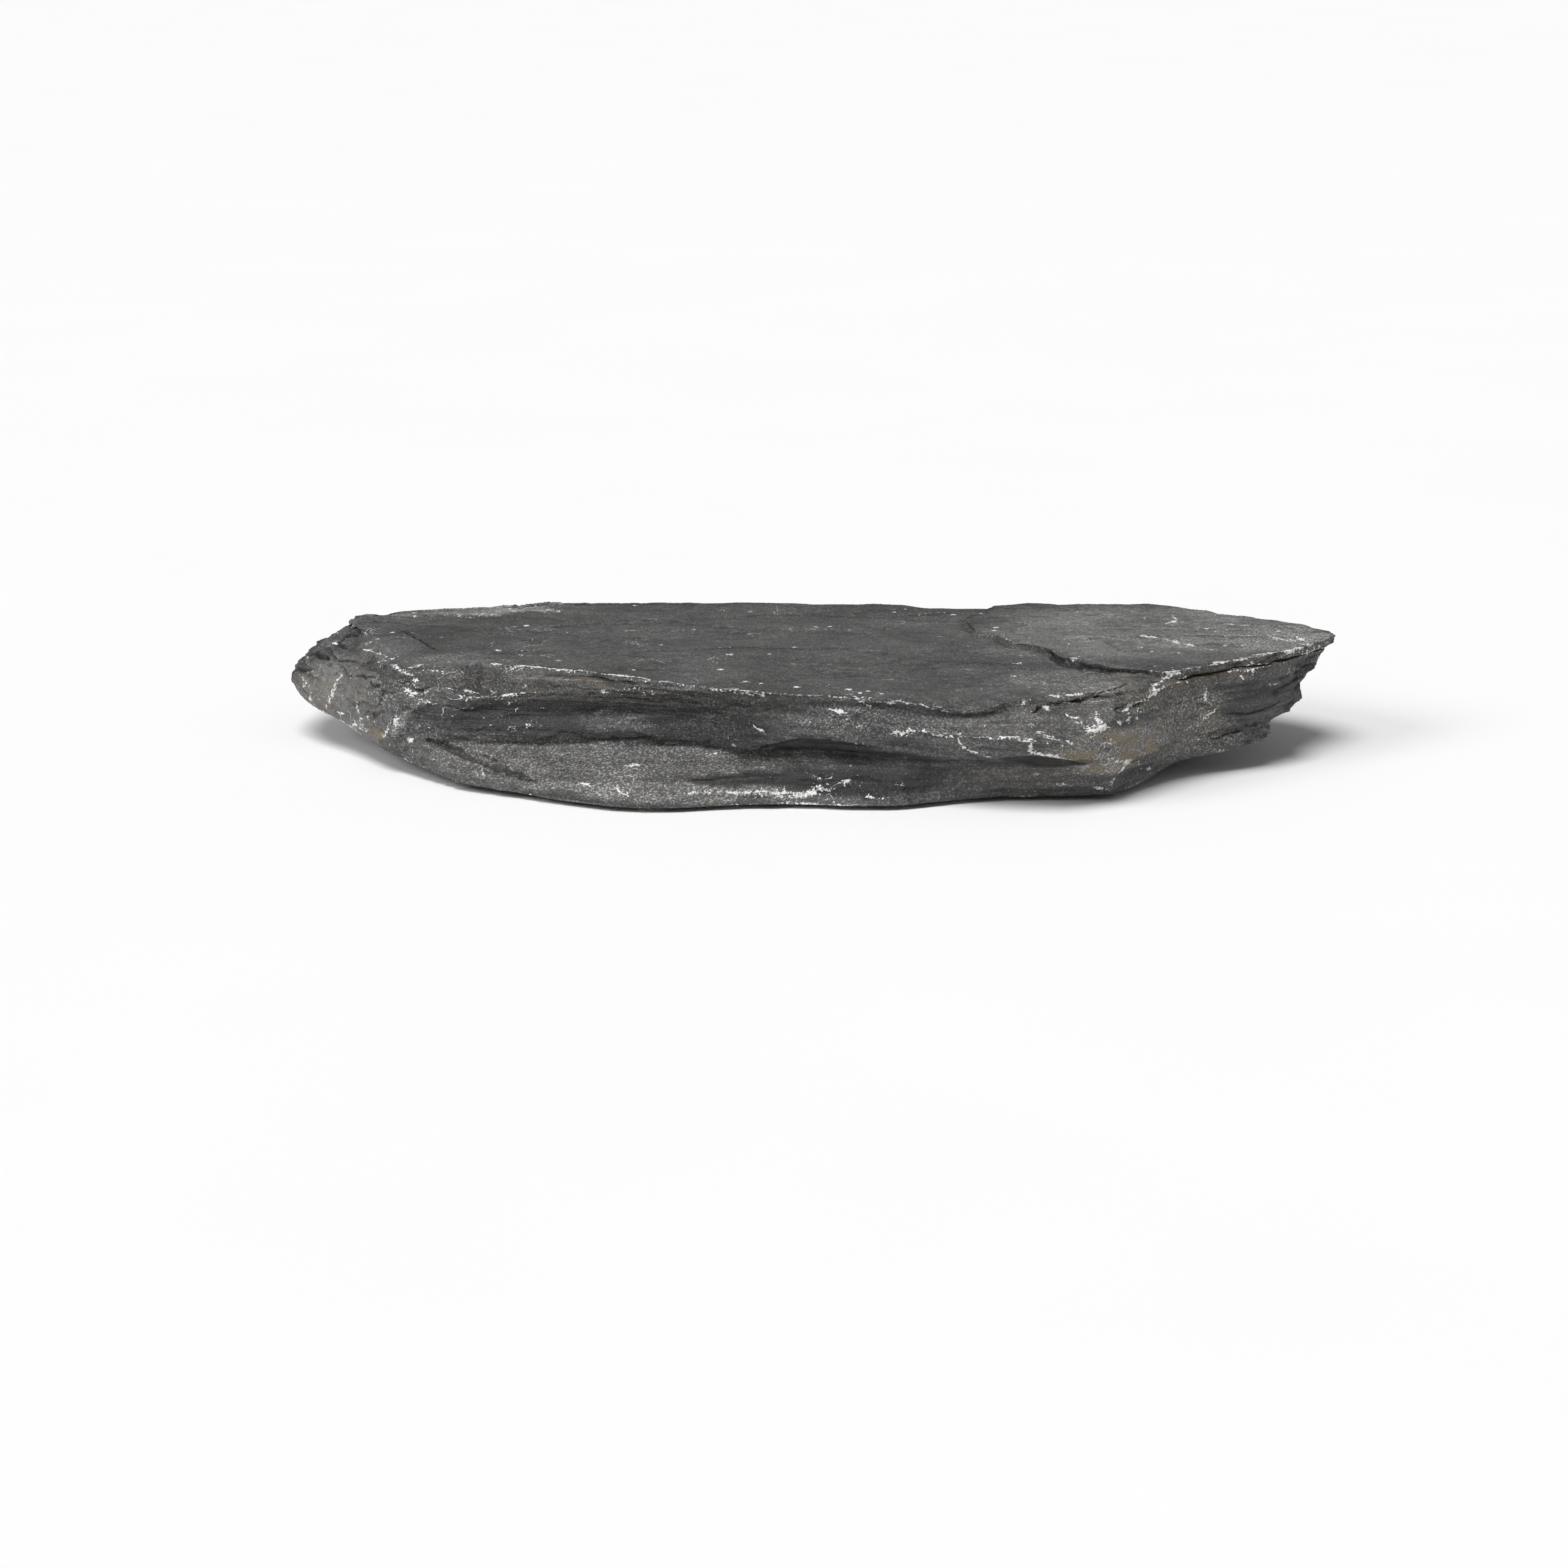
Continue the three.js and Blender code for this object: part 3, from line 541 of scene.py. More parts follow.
def vertices_of(mesh):
    """The vertices in millimetres."""
    flat = np.empty(len(mesh.vertices) * 3)
    mesh.vertices.foreach_get("co", flat)
    return flat.reshape(-1, 3) * 1000


def edges_of(mesh):
    """The pairs of vertices that the edges join."""
    flat = np.empty(len(mesh.edges) * 2, dtype=np.int32)
    mesh.edges.foreach_get("vertices", flat)
    return flat.reshape(-1, 2)


def normals_of(mesh):
    """The direction that each vertex faces."""
    flat = np.empty(len(mesh.vertices) * 3, dtype=np.float32)
    mesh.vertex_normals.foreach_get("vector", flat)
    return flat.reshape(-1, 3).astype(float)


def put_vertices(mesh, points):
    """Moves the vertices to these points, given in millimetres."""
    mesh.vertices.foreach_set("co", (points / 1000).ravel())
    mesh.update()


def put_amount(mesh, name, values):
    """Stores one number for each vertex."""
    layer = mesh.attributes.new(name, "FLOAT", "POINT")
    layer.data.foreach_set("value", values.astype(np.float32))


def spread(values, edges, rounds):
    """Each vertex takes the mean of itself and its neighbours, some rounds over."""
    count = len(values)
    share = np.bincount(edges.ravel(), minlength=count) + 1
    for _ in range(rounds):
        total = values.copy()
        for k in range(values.shape[1]):
            total[:, k] += np.bincount(edges[:, 0], values[edges[:, 1], k], count)
            total[:, k] += np.bincount(edges[:, 1], values[edges[:, 0], k], count)
        values = total / share[:, None]
    return values


def soft_normals(mesh):
    """The direction that each vertex faces, with the finest bumps evened out."""
    return unit(spread(normals_of(mesh), edges_of(mesh), 4))


def inside_box(points):
    """The points, with those outside the CAD box moved onto its faces."""
    low, high = np.array(cad_box) * 1000
    return np.clip(points, low, high)


# Drawn lines

def wobbled(points):
    """The points pushed about a little, which makes the straight runs of a drawn line wander."""
    bends = noise_vectors(points, *LINE_BENDS)
    jags = noise_vectors(points, *LINE_JAGS)
    return points + LINE_BEND * bends + LINE_JAG * jags


def line_distance(points, facing, line):
    """Distance along the surface to a line, the vector from it, and the line's run and place there."""
    legs = [math.dist(start, end) for start, end in zip(line, line[1:])]
    done = 0
    place = np.zeros(len(points))
    nearest = np.full(len(points), np.inf)
    vector = np.zeros((len(points), 3))
    run_there = np.zeros((len(points), 3))
    for start, end, leg in zip(line, line[1:], legs):
        start = np.array(start)
        run = np.array(end) - start
        t = np.clip((points - start) @ run / (run @ run), 0, 1)
        away = points - start - t[:, None] * run
        off = np.einsum("ij,ij->i", away, facing)
        away -= facing * np.clip(off, -LINE_SLACK, LINE_SLACK)[:, None]
        distance = np.linalg.norm(away, axis=1)
        closer = distance < nearest
        nearest[closer] = distance[closer]
        vector[closer] = away[closer]
        run_there[closer] = run
        place[closer] = ((done + t * leg) / sum(legs))[closer]
        done += leg
    return nearest, vector, run_there, place


def tapered(place):
    """The share of its width that a crack has along its way, narrow at both ends."""
    return np.sqrt(np.clip(4 * place * (1 - place), 0.06, 1))


def line_field(points, facing, lines, taper):
    """Distance to the nearest line in half widths, positive on one side, negative on the other."""
    best = np.full(len(points), float(LINE_REACH))
    for width, line in lines:
        distance, vector, run, place = line_distance(points, facing, line)
        distance = distance / (width / 2 * (tapered(place) if taper else 1))
        side = np.where(np.einsum("ij,ij->i", vector, np.cross(run, facing)) < 0, -1, 1)
        closer = distance < np.abs(best)
        best[closer] = (distance * side)[closer]
    return best


# Relief

def cells(points, seed):
    """The nearest of many scattered middles: three random numbers for it, and the way from it."""
    count = 4096
    strides = (73, 1291, 311)
    rng = np.random.default_rng(seed)
    table = rng.random((count, 6))
    base = np.floor(points).astype(int)
    best = np.full(len(points), np.inf)
    chance = np.zeros((len(points), 3))
    away = np.zeros((len(points), 3))
    for step in itertools.product((-1, 0, 1), repeat=3):
        at = base + step
        pick = (at @ strides + seed * 17) % count
        middle = at + 0.1 + 0.8 * table[pick, :3]
        gap = points - middle
        distance = np.einsum("ij,ij->i", gap, gap)
        closer = distance < best
        best[closer] = distance[closer]
        chance[closer] = table[pick, 3:][closer]
        away[closer] = gap[closer]
    return chance, away


def flake_offsets(points, size, bend, seed):
    """Flat flakes, each deeper or less deep than the next and tilted its own way, from -1.3 to 0."""
    bent = points / size + bend * noise_vectors(points, FLAKE_BEND, seed + 1)
    chance, away = cells(bent, seed)
    lean = 0.55 * away[:, 2] * np.where(chance[:, 1] > 0.3, 1, -1)
    roll = 0.5 * away[:, 0] * (chance[:, 2] - 0.5)
    return np.clip(-0.75 * chance[:, 0] - 0.25 - (lean + roll), -1.3, 0)


def bed_offsets(points, thickness, run, seed):
    """How far each thin bed stands back, from -1.2 to 0, at every point."""
    # The beds bend along the slab, and some are thicker than others
    bend = 0.9 * noise(points, LONG_BEND, seed) + 0.25 * noise(points, SHORT_BEND, seed + 1)
    height = points[:, 2] / thickness + bend
    height += 0.35 * noise(np.stack([height * 0.45, height * 0, height * 0], 1), 1, seed + 2)
    bed = np.floor(height)
    place = height - bed
    # Each bed breaks off in levels of its own, and gives way to the next one near its top
    levels = 2.5
    total = np.zeros(len(points))
    for step in (0, 1):
        level = bed + step
        where = np.stack([points[:, 0] / run, points[:, 1] / run, level * 5.37], 1)
        value = noise(where, 1, seed + 3) + 0.45 * noise(where * [3.1, 3.1, 1], 1, seed + 4)
        value = np.round(value * levels) / levels * 0.75 + value * 0.25
        share = smooth_step(0.86, 1.0, place)
        total += value * (share if step else 1 - share)
    return np.clip(total * 0.7 - 0.5, -1.2, 0)


def chip_offsets(points):
    """The chipped facets of the left end, in and out."""
    chipped = zone_share(points[:, 0], points[:, 2], *CHIPPED_LEFT) * (points[:, 1] < CHIPPED_BACK)
    some = chipped > 0
    chips = np.zeros(len(points))
    chips[some] = (flake_offsets(points[some], *CHIPS) + 0.5) * chipped[some] * CHIP_DEPTH
    return chips


def side_offsets(points, left_steps, far_right):
    """How far beds, sheets, flakes and chips move the broken faces out, in millimetres."""
    x, y, z = points.T

    # The right end and the back are split most, the front least
    split = LEAST_SPLIT + PATCH_SPLIT * smooth_step(-0.2, 0.35, noise(points, *SPLIT_PATCHES))
    split = np.maximum(split, smooth_step(*SPLIT_END_X, x))
    split = np.maximum(split, smooth_step(*SPLIT_BACK_Y, y))
    flaked = np.maximum(far_right, smooth_step(*FLAKED_BACK_Y, y)) * MORE_FLAKED + LEAST_FLAKED
    flaked *= 1 - LEFT_FOOT_CALM * smooth_step(*LEFT_END_X, x) * smooth_step(*LEFT_FOOT_Z, z)

    # The left end has larger steps, and the right end has fewer large forms and more thin sheets
    beds = bed_offsets(points, *BEDS) * BED_DEPTH
    sheets = bed_offsets(points, *SHEETS) * SHEET_DEPTH
    large = flake_offsets(points, *LARGE_FLAKES) * LARGE_FLAKE_DEPTH
    small = flake_offsets(points, *SMALL_FLAKES) * SMALL_FLAKE_DEPTH
    beds *= 1 + LEFT_BEDS * left_steps + RIGHT_BEDS * far_right
    sheets *= 1 + RIGHT_SHEETS * far_right
    large *= 1 + RIGHT_FLAKES * far_right
    offsets = (beds + sheets) * split + (large + small) * flaked + chip_offsets(points)
    return offsets + FACE_SHIFT + FLAKE_SHIFT * flaked + END_SHIFT * (left_steps + far_right)


def top_offsets(points):
    """Low steps where thin sheets have come away from the cleaved top."""
    height = 1.7 * noise(points, *TOP_SHEETS) + 0.3 * noise(points, *TOP_JAGS)
    level = np.floor(height)
    place = height - level
    return TOP_STEP * (level + smooth_step(0.93, 1.0, place)) - TOP_STEP


def back_left_strip(points):
    """1 at the back left of the top, where a thin sheet came off and left a lower strip, which is
    painted lighter as a strip of light.
    """
    ragged = np.zeros(len(points))
    for size, seed, share in BACK_LEFT_STRIP_JAGS:
        ragged += share * noise(points, size, seed)
    far = oval_distance(points[:, 0], points[:, 1], *BACK_LEFT_STRIP_OVAL)
    return smooth_step(0.98, 0.9, far + 0.22 * ragged)


def sheet_push(points):
    """A small push along the top, which makes the edge of the thin sheet on its right irregular."""
    x, y, z = points.T
    share = zone_share(x, y, *SHEET_EDGE) * smooth_step(*SHEET_EDGE_Z, z)
    bends = noise_vectors(points, *SHEET_BENDS, axes=2)
    jags = noise_vectors(points, *SHEET_JAGS, axes=2)
    push = np.zeros_like(points)
    push[:, :2] = SHEET_BEND * bends + SHEET_JAG * jags
    return push * share[:, None]


def below_right_rim(points):
    """1 on the ledge that runs under the thin rim of the right end."""
    x, y, z = points.T
    ledge = smooth_step(*RIM_LEDGE_X, x) * smooth_step(*RIM_LEDGE_Z, z)
    return ledge * (z < RIM_UNDERSIDE) * (y < RIM_LEDGE_BACK)


def worn_soft(points, edges):
    """The points, evened out at the places that are worn soft."""
    for _, x, z, length, height, rounds in WORN_PLACES:
        worn = zone_share(points[:, 0], points[:, 2], (x, z), (length, height)) * (points[:, 1] < 0)
        points = points + (spread(points, edges, rounds) - points) * worn[:, None]
    return points


def carved(points, moved, facing):
    """The moved points, with cracks and dents cut into them and ridges raised."""
    wandering = wobbled(points)
    for _, width, depth, *line in CRACKS + GROOVES:
        distance, _, _, place = line_distance(wandering, facing, line)
        mouth = width * CRACK_MOUTH * tapered(place)
        moved = moved - facing * (depth * smooth_step(1, 0, distance / mouth))[:, None]
    return moved


def add_relief(mesh):
    """Breaks the slab's faces into beds, flakes and grain."""
    points = worn_soft(vertices_of(mesh), edges_of(mesh))
    x, y, z = points.T
    facing = soft_normals(mesh)
    outward = unit(facing * [1, 1, OUTWARD_UP])
    top = smooth_step(*TOP_FACES, facing[:, 2])
    bottom = smooth_step(*UNDERSIDE_FACES, -facing[:, 2])
    far_right = smooth_step(*FAR_RIGHT_X, x)
    left_steps = smooth_step(*LEFT_END_X, x) * smooth_step(*LEFT_STEPS_Z, z)
    right_plane = zone_share(x, z, *RIGHT_PLANE) * smooth_step(*RIGHT_PLANE_Y, y)
    side = smooth_step(*SIDE_FACES, 1 - np.abs(facing[:, 2]))
    side = np.maximum(side, left_steps * (1 - top))

    sideways = side_offsets(points, left_steps, far_right) * side
    sideways *= 1 - RIGHT_PLANE_CALM * right_plane
    upward = (top_offsets(points) - BACK_LEFT_STRIP_STEP * back_left_strip(points)) * top
    swell = SWELL_DEPTH * layered_noise(points, *SWELLS)
    pitting = PIT_DEPTH * layered_noise(points, *PITS, octaves=2) * (0.3 + 0.7 * side)

    moved = points + outward * sideways[:, None]
    roll = (swell - SWELL_SHIFT) * (0.4 + 0.6 * side)
    moved += facing * (roll + pitting)[:, None] * (1 - bottom)[:, None]
    moved[:, 2] += upward
    moved += sheet_push(points)
    lift = np.clip(RIM_UNDERSIDE - RIM_GAP - moved[:, 2], 0, RIM_FILL)
    moved[:, 2] += lift * below_right_rim(points)
    put_vertices(mesh, inside_box(carved(points, moved, facing)))


# The stone's mesh

def applied(thing):
    """The thing's mesh with its modifiers applied."""
    depsgraph = bpy.context.evaluated_depsgraph_get()
    mesh = bpy.data.meshes.new_from_object(thing.evaluated_get(depsgraph))
    thing.modifiers.clear()
    thing.data = mesh
    return mesh


def make_stone(node):
    """A finely divided copy of the slab with the relief of split slate."""
    stone = bpy.data.objects.new("slate_stone", node.data.copy())
    bpy.context.scene.collection.objects.link(stone)
    weld = stone.modifiers.new("weld", "WELD")
    weld.merge_threshold = WELD_GAP / 1000
    even = stone.modifiers.new("even", "REMESH")
    even.mode = "VOXEL"
    even.voxel_size = VOXEL / 1000
    mesh = applied(stone)
    add_relief(mesh)
    thin = stone.modifiers.new("thin", "DECIMATE")
    thin.ratio = min(1, TRIANGLES / (len(mesh.polygons) * 2))
    mesh = applied(stone)
    mesh.name = "slate_stone"
    put_vertices(mesh, inside_box(vertices_of(mesh)))
    mesh.shade_smooth()
    mesh.set_sharp_from_angle(angle=math.radians(SHARP_ANGLE))
    return stone


# Painted amounts, one number for each vertex

def bulge(mesh, rounds):
    """How far each vertex stands out of its surroundings, from -1 to 1."""
    points = vertices_of(mesh)
    apart = points - spread(points, edges_of(mesh), rounds)
    out = np.einsum("ij,ij->i", apart, normals_of(mesh))
    return np.clip(out / FULL_BULGE, -1, 1)


def paint_relief(mesh, points, crack):
    """Edges that stand out, away from cracks, and hollows for painted shade, which is softer in two
    places.
    """
    edge = np.maximum(bulge(mesh, 1), bulge(mesh, 6) * BROAD_EDGE_SHARE)
    edge *= smooth_step(*EDGE_FROM_CRACK, np.abs(crack))
    put_amount(mesh, "edge", np.clip(edge, 0, 1))
    crease = zone_share(points[:, 0], points[:, 2], *SOFT_CREASE) * (points[:, 1] < 0)
    calm = np.maximum(below_right_rim(points), crease)
    put_amount(mesh, "hollow", np.clip(-bulge(mesh, 5), 0, 1) * (1 - HOLLOW_SHADE_CALM * calm))


def paint_tones(mesh, points, facing):
    """Streaks, tone, grain and rust, zone by zone, with painted light and shade in the tone of some
    zones.
    """
    x, y, z = points.T

    # Broken faces that no zone names keep a middling tone
    tone = BROKEN_TONE + BROKEN_TONE_SWING * noise(points, *TONE_PATCHES)
    grain = BROKEN_GRAIN + BROKEN_GRAIN_SWING * noise(points, *GRAIN_PATCHES)
    rust = BROKEN_RUST * smooth_step(0.3, 0.7, noise(points, *RUST_PATCHES))

    # Zones of the front, with borders that wave
    wave = noise_vectors(points, *BORDER_WAVES, axes=2)
    along = x + WAVE_X * wave[:, 0]
    up = z + WAVE_Z * wave[:, 1]
    front = smooth_step(*FRONT_Y, y - LEFT_TURN * np.abs(np.minimum(x - LEFT_TURN_X, 0)))
    for _, at_x, at_z, length, height, rise, zone_tone, zone_grain, zone_rust in FRONT_ZONES:
        share = zone_share(along, up - rise * (along - at_x), (at_x, at_z), (length, height)) * front
        tone += share * (zone_tone - tone)
        grain += share * (zone_grain - grain)
        rust += share * (zone_rust - rust)

    # Zones of the cleaved top
    deep = y + WAVE_Y * wave[:, 1]
    flat = smooth_step(*CLEAVED_FACES, facing[:, 2]) * smooth_step(*TOP_Z, z)
    tone += flat * (TOP_TONE - tone)
    grain += flat * (TOP_GRAIN - grain)
    for _, at_x, at_y, length, depth, zone_tone, zone_grain in TOP_ZONES:
        share = zone_share(along, deep, (at_x, at_y), (length, depth)) * flat
        tone += share * (zone_tone - tone)
        grain += share * (zone_grain - grain)
    # Painted light: the strip at the back left of the top is laid in lighter, as a strip of light
    tone += flat * back_left_strip(points) * (LIT_STRIP_TONE - tone)

    # Streaks show most where the grain is fine
    streak = np.clip(1.15 - grain, 0.25, 1)
    streak *= 1 - PLAIN_LEFT_CALM * zone_share(along, up, *PLAIN_LEFT) * front
    streak += zone_share(along, up, *BEVEL_STREAKS) * front
    put_amount(mesh, "streak", streak * (1 - flat) + TOP_STREAK * flat)
    put_amount(mesh, "tone", tone)
    put_amount(mesh, "grain", np.clip(grain, 0, 1))
    put_amount(mesh, "stain", rust)


def paint(mesh):
    """Works out tone with painted light and shade, grain, rust, worn edges, chalk lines and cracks with
    painted shade over the stone.
    """
    points = vertices_of(mesh)
    facing = soft_normals(mesh)
    wandering = wobbled(points - sheet_push(points))
    crack = line_field(wandering, facing, [(width, line) for _, width, _, *line in CRACKS], True)
    chalk = line_field(wandering, facing, [(width, line) for _, width, *line in CHALK_LINES], False)
    paint_relief(mesh, points, crack)
    paint_tones(mesh, points, facing)
    put_amount(mesh, "line", chalk)
    put_amount(mesh, "line_near", 1 - np.abs(chalk) / LINE_REACH)
    put_amount(mesh, "crack", crack)
    put_amount(mesh, "crack_near", 1 - np.abs(crack) / LINE_REACH)


# Materials

class Surface:
    """Builds a material's nodes and links."""

    def __init__(self, name):
        self.material = bpy.data.materials.new(name)
        self.material.use_nodes = True
        self.tree = self.material.node_tree
        self.shader = self.tree.nodes["Principled BSDF"]
        place = self.tree.nodes.new("ShaderNodeTexCoord")
        self.place = place.outputs["Object"]

    def put(self, socket, value):
        """Links a socket to another, or sets its number or colour."""
        if isinstance(value, bpy.types.NodeSocket):
            self.tree.links.new(value, socket)
        else:
            socket.default_value = value

    def math(self, operation, first, second=0.5, third=0.5):
        """One sum, product or other step between numbers."""
        node = self.tree.nodes.new("ShaderNodeMath")
        node.operation = operation
        for socket, value in zip(node.inputs, (first, second, third)):
            self.put(socket, value)
        return node.outputs[0]

    def amount(self, name):
        """A number stored on the vertices."""
        node = self.tree.nodes.new("ShaderNodeAttribute")
        node.attribute_name = name
        return node.outputs["Fac"]

    def scaled(self, size):
        """The place on the object, scaled so that a pattern is this many millimetres across."""
        node = self.tree.nodes.new("ShaderNodeMapping")
        self.put(node.inputs["Vector"], self.place)
        node.inputs["Scale"].default_value = [1000 / millimetres for millimetres in size]
        return node.outputs[0]

    def noise(self, size, detail, rough):
        """Noise from 0 to 1, of this size in millimetres."""
        node = self.tree.nodes.new("ShaderNodeTexNoise")
        self.put(node.inputs["Vector"], self.scaled(size))
        node.inputs["Scale"].default_value = 1.0
        node.inputs["Detail"].default_value = detail
        node.inputs["Roughness"].default_value = rough
        return node.outputs["Fac"]

    def cells(self, size):
        """Scattered cells of this size: the distance from the nearest middle, and its random colour."""
        node = self.tree.nodes.new("ShaderNodeTexVoronoi")
        self.put(node.inputs["Vector"], self.scaled(size))
        node.inputs["Scale"].default_value = 1.0
        return node.outputs["Distance"], node.outputs["Color"]

    def slope(self, value, low, high, to_low=0.0, to_high=1.0):
        """Maps low..high smoothly to to_low..to_high."""
        node = self.tree.nodes.new("ShaderNodeMapRange")
        node.interpolation_type = "SMOOTHSTEP"
        for socket, number in zip(node.inputs, (value, low, high, to_low, to_high)):
            self.put(socket, number)
        return node.outputs[0]

    def swing(self, value, width):
        """A noise stretched to this width, with its middle at 0."""
        return self.math("MULTIPLY_ADD", value, width, -width / 2)

    def mix(self, share, first, second):
        """Blends two colours."""
        node = self.tree.nodes.new("ShaderNodeMix")
        node.data_type = "RGBA"
        self.put(node.inputs["Factor"], share)
        self.put(node.inputs["A"], first)
        self.put(node.inputs["B"], second)
        return node.outputs["Result"]

    def slate_grey(self, value):
        """A slightly warm grey of this brightness."""
        node = self.tree.nodes.new("ShaderNodeCombineColor")
        self.put(node.inputs[0], value)
        self.put(node.inputs[1], self.math("MULTIPLY", value, SLATE_GREEN))
        self.put(node.inputs[2], self.math("MULTIPLY", value, SLATE_BLUE))
        return node.outputs[0]

    def bump(self, height, depth, below=None):
        """Fine relief, depth in metres."""
        node = self.tree.nodes.new("ShaderNodeBump")
        node.inputs["Strength"].default_value = 1.0
        node.inputs["Distance"].default_value = depth
        self.put(node.inputs["Height"], height)
        if below is not None:
            self.put(node.inputs["Normal"], below)
        return node.outputs["Normal"]


def slate_shade(s, clouds, mottle, streaks, speckle):
    """Brightness of the bare slate, with painted light and shade in its tone and painted shade in
    hollows and cracks.
    """
    m = s.math

    # Broad clouds, mottling and the streaks of the top
    shade = s.amount("tone")
    swings = (clouds, CLOUD_SWING), (mottle, MOTTLE_SWING), (s.noise(*TOP_STREAKS), TOP_STREAK_SWING)
    for pattern, swing in swings:
        shade = m("MULTIPLY", shade, s.slope(pattern, *BRIGHTNESS_SPAN, 1 - swing, 1 + swing))

    # Streaks along the bedding, light and dark grains, and painted shade in hollows and cracks
    stripe = m("MULTIPLY", m("SUBTRACT", s.slope(streaks, *STRIPE_SPAN), 0.5), s.amount("streak"))
    light_grains = m("MULTIPLY", s.slope(speckle, *LIGHT_GRAIN), s.amount("grain"))
    dark_grains = m("MULTIPLY", s.slope(speckle, *DARK_GRAIN), s.amount("grain"))
    crack = s.slope(m("ABSOLUTE", s.amount("crack")), *CRACK_LINE)
    crack = m("MULTIPLY", crack, s.slope(s.amount("crack_near"), *CRACK_NEAR))
    changes = [
        (stripe, STREAK_STRENGTH, 1.0),
        (light_grains, LIGHT_GRAIN_STRENGTH, BETWEEN_GRAINS),
        (dark_grains, -DARK_GRAIN_STRENGTH, 1.0),
        (s.amount("hollow"), -HOLLOW_SHADE_STRENGTH, 1.0),
        (crack, -CRACK_SHADE_STRENGTH, 1.0),
    ]
    for mark, strength, plain in changes:
        shade = m("MULTIPLY", shade, m("MULTIPLY_ADD", mark, strength, plain))
    return shade


def edge_powder(s, crumbs, patches):
    """Chalky powder on worn edges."""
    m = s.math
    worn = m("ADD", s.amount("edge"), s.swing(crumbs, EDGE_CRUMB_SWING))
    worn = m("ADD", worn, s.swing(patches, EDGE_PATCH_SWING))
    return s.slope(worn, *EDGE_CHALK)


def line_powder(s, crumbs):
    """Chalk in the drawn lines: a broken core with crumbs round it."""
    m = s.math
    gaps = s.noise(*GAPS)
    line = m("ABSOLUTE", s.amount("line"))
    reach = m("SUBTRACT", line, m("MULTIPLY_ADD", crumbs, *LINE_CRUMB_REACH))
    reach = m("ADD", reach, s.swing(gaps, -LINE_GAP_SWING))
    round_it = m("MULTIPLY", s.slope(reach, *LINE_CHALK), s.slope(crumbs, *LINE_CRUMBS))
    core = m("MULTIPLY", s.slope(line, *LINE_CORE), s.slope(m("ADD", crumbs, gaps), *CORE_CRUMBS))
    powder = m("MAXIMUM", round_it, m("MULTIPLY", core, CORE_SHARE))
    return m("MULTIPLY", powder, s.slope(s.amount("line_near"), *LINE_NEAR))


def chalk_specks(s, crumbs, patches):
    """Specks of chalk in some of the cells, each of its own size."""
    m = s.math
    distance, colour = s.cells(SPECK_CELLS)
    chance = m("FRACT", m("MULTIPLY", colour, 7.0))
    chosen = m("MULTIPLY", s.slope(chance, *SPECK_CHANCE), s.slope(patches, *SPECK_PATCHES))
    ragged = m("ADD", distance, s.swing(crumbs, SPECK_CRUMB_SWING))
    size = m("MULTIPLY_ADD", m("FRACT", m("MULTIPLY", chance, 31.0)), *SPECK_SIZE)
    return m("MULTIPLY", s.slope(m("SUBTRACT", ragged, size), *SPECK_EDGE), chosen)


def scratches(s, clouds, crumbs):
    """Thin scratches, which stay clear of the drawn lines."""
    m = s.math
    ridge = m("ABSOLUTE", m("SUBTRACT", s.noise(*RIDGES), 0.5))
    scratch = m("MULTIPLY", s.slope(ridge, *SCRATCH_LINE), s.slope(clouds, *SCRATCH_CLOUDS))
    scratch = m("MULTIPLY", scratch, s.slope(crumbs, *SCRATCH_CRUMBS))
    return m("MULTIPLY", scratch, s.slope(s.amount("line_near"), *SCRATCH_CLEAR))


def chalk_and_glints(s, clouds, glints):
    """How much of the slate is under chalk, or under glints that are painted highlights."""
    m = s.math
    patches = s.noise(*PATCHES)
    crumbs = s.noise(*CRUMBS)
    powder = m("MAXIMUM", edge_powder(s, crumbs, patches), line_powder(s, crumbs))
    marks = m("MAXIMUM", chalk_specks(s, crumbs, patches), scratches(s, clouds, crumbs))
    sparks = m("MULTIPLY", s.slope(glints, *GLINT), s.amount("grain"))
    return m("MAXIMUM", m("MAXIMUM", powder, marks), m("MULTIPLY", sparks, GLINT_SHARE))


def slate_material():
    """Dark grey slate with fine grain, bedding streaks, chalky edges, faint rust, painted glints and
    painted light and shade.
    """
    s = Surface("slate")
    m = s.math
    clouds = s.noise(*CLOUDS)
    mottle = s.noise(*MOTTLE)
    streaks = s.noise(*STREAKS)
    speckle = s.noise(*SPECKLE)
    glints = s.noise(*GLINTS)

    # Colour: slate with painted light and shade, faint rust, then chalk and painted glints
    colour = s.slate_grey(slate_shade(s, clouds, mottle, streaks, speckle))
    rust = m("MULTIPLY", s.amount("stain"), s.slope(s.noise(*RUST_BLOTCHES), *RUSTY))
    colour = s.mix(m("MULTIPLY", rust, RUST_SHARE), colour, RUST_COLOUR)
    # The chalk amount also carries the glints, painted highlights laid in with the chalk colour
    chalk = chalk_and_glints(s, clouds, glints)
    colour = s.mix(m("MULTIPLY", chalk, CHALK_SHARE), colour, CHALK_COLOUR)
    s.put(s.shader.inputs["Base Color"], colour)

    # Gloss and fine relief
    bare_roughness = s.slope(clouds, *GLOSS_SPAN, *SLATE_ROUGHNESS)
    s.put(s.shader.inputs["Roughness"], m("MULTIPLY_ADD", chalk, CHALK_ROUGHNESS, bare_roughness))
    s.shader.inputs["Specular IOR Level"].default_value = SLATE_SHINE
    relief = s.bump(m("MULTIPLY", streaks, s.amount("streak")), STREAK_BUMP)
    relief = s.bump(mottle, MOTTLE_BUMP, relief)
    relief = s.bump(speckle, GRAIN_BUMP, relief)
    relief = s.bump(m("ADD", m("MULTIPLY", chalk, CHALK_HEIGHT), glints), CHALK_BUMP, relief)
    s.put(s.shader.inputs["Normal"], relief)
    return s.material


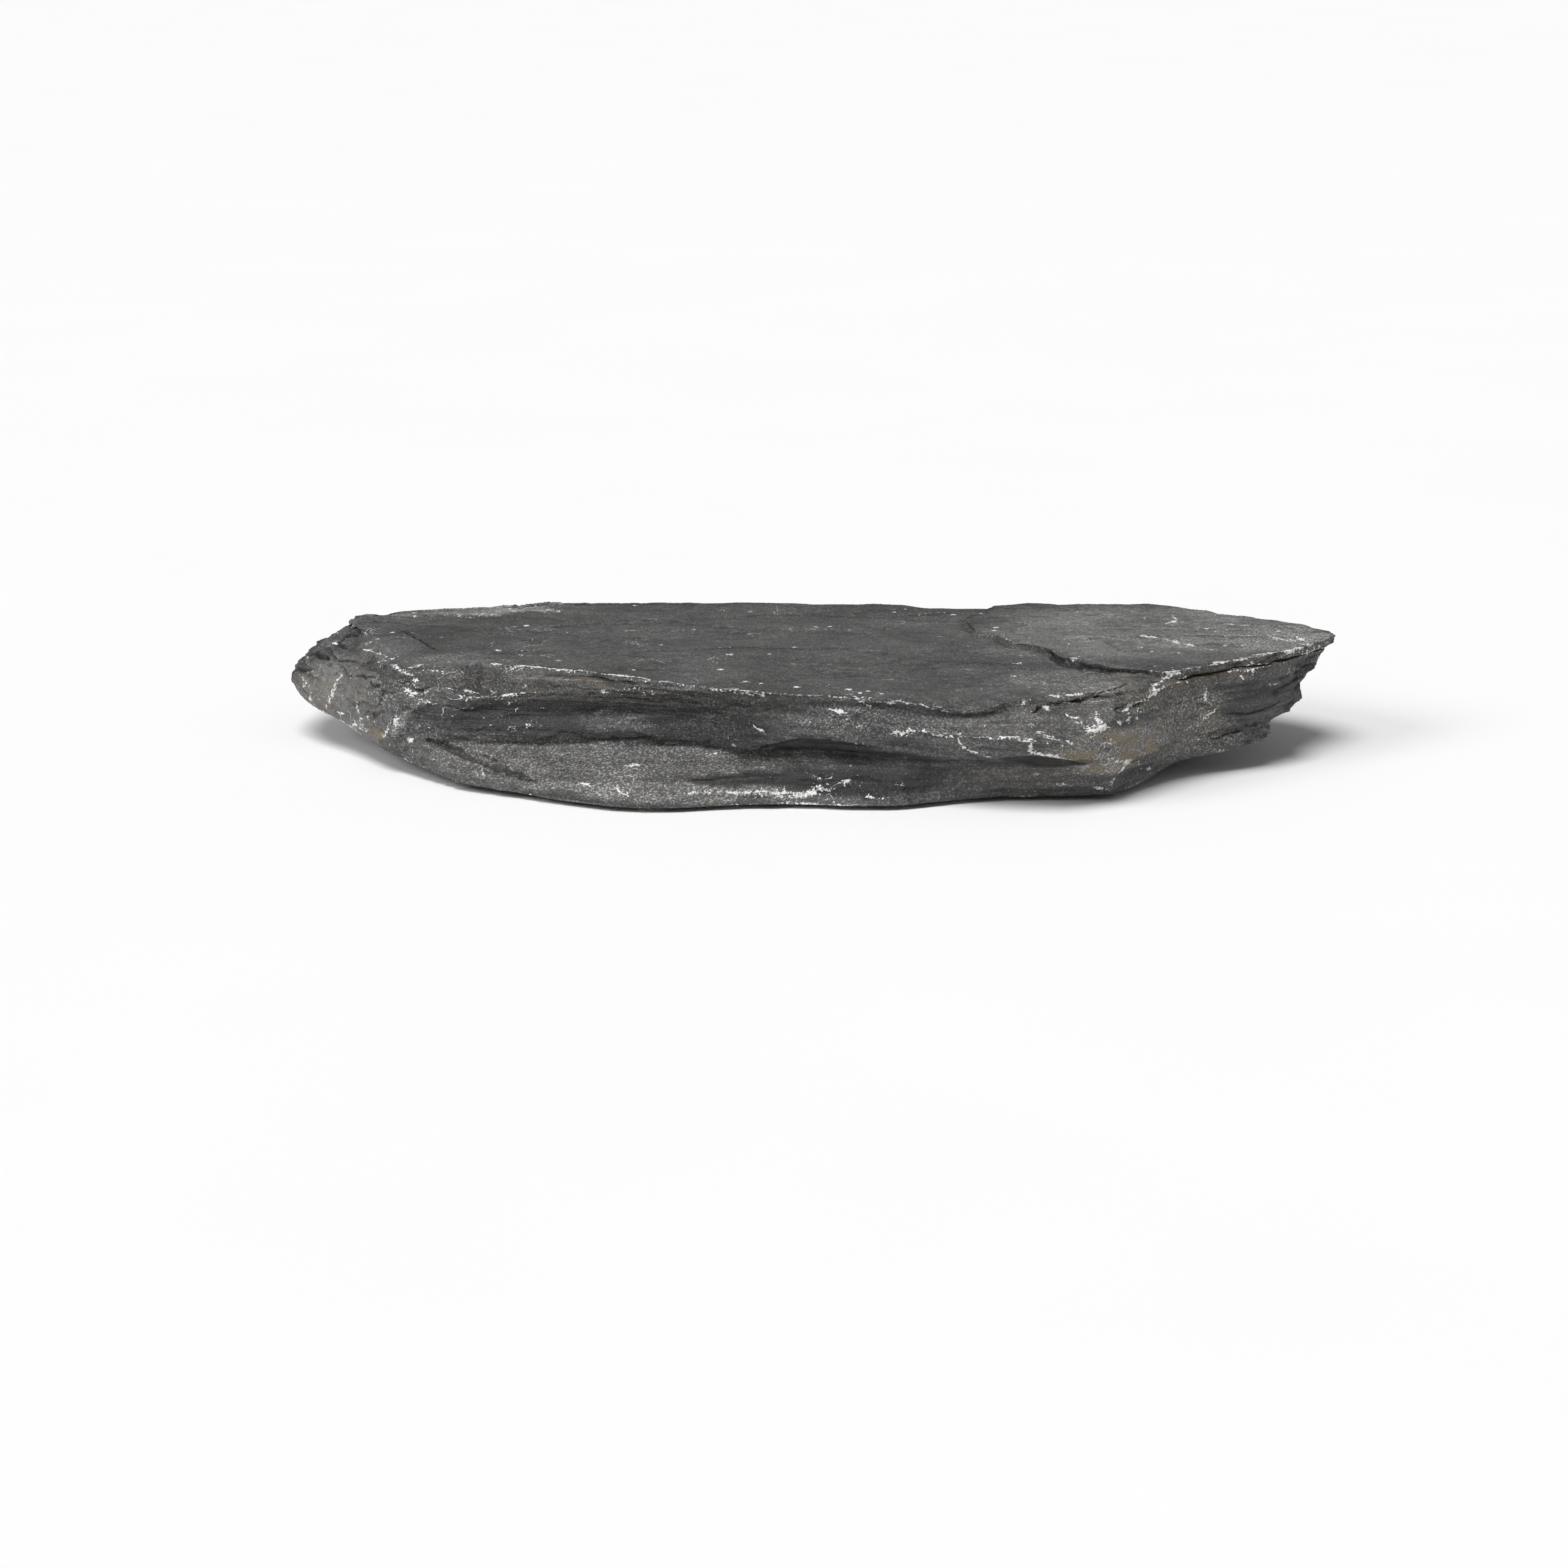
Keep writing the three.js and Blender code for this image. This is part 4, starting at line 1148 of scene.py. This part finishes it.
def floor_material():
    """Plain white studio paper."""
    s = Surface("paper")
    s.put(s.shader.inputs["Base Color"], s.mix(s.noise(*PAPER_CLOUDS), FLOOR_DARK, FLOOR_LIGHT))
    s.shader.inputs["Roughness"].default_value = FLOOR_ROUGHNESS
    s.shader.inputs["Specular IOR Level"].default_value = FLOOR_SHINE
    return s.material


# The floor, the lights and the camera

def make_floor():
    """A wide level sheet under the stone."""
    mesh = bpy.data.meshes.new("floor")
    corners = [(-1, -1), (1, -1), (1, 1), (-1, 1)]
    mesh.from_pydata([(x * FLOOR_HALF, y * FLOOR_HALF, 0) for x, y in corners], [], [(0, 1, 2, 3)])
    mesh.materials.append(floor_material())
    floor = bpy.data.objects.new("floor", mesh)
    bpy.context.scene.collection.objects.link(floor)
    return floor


def soft_light(name, down, turn, spread_angle, strength):
    """A wide, even light from far away. down is its height angle, turn its way round from the front."""
    lamp = bpy.data.lights.new(name, "SUN")
    lamp.angle = math.radians(spread_angle)
    lamp.energy = strength
    holder = bpy.data.objects.new(name, lamp)
    holder.rotation_euler = (math.radians(90 - down), 0, math.radians(turn))
    bpy.context.scene.collection.objects.link(holder)


def light_all_round():
    """Even white light from all sides."""
    world = bpy.data.worlds.new("studio")
    world.use_nodes = True
    background = world.node_tree.nodes["Background"]
    background.inputs["Color"].default_value = (1, 1, 1, 1)
    background.inputs["Strength"].default_value = SKY_STRENGTH
    bpy.context.scene.world = world
    bpy.context.scene.view_settings.view_transform = "Standard"


def place_camera():
    """The camera where the photograph was taken from."""
    camera = bpy.data.objects.new("camera", bpy.data.cameras.new("camera"))
    camera.location = CAMERA_PLACE
    camera.rotation_euler = (math.radians(90 - CAMERA_DOWN), 0, 0)
    camera.data.lens = CAMERA_LENS
    camera.data.sensor_width = CAMERA_SENSOR
    bpy.context.scene.collection.objects.link(camera)
    bpy.context.scene.camera = camera


stone = make_stone(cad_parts["slate_slab"])
paint(stone.data)
stone.data.materials.clear()
stone.data.materials.append(slate_material())
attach(stone, "root")
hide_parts("slate_slab")

floor = make_floor()
soft_light("overhead", down=68, turn=-30, spread_angle=30, strength=2.35)
soft_light("left", down=34, turn=-62, spread_angle=25, strength=1.1)
light_all_round()
place_camera()
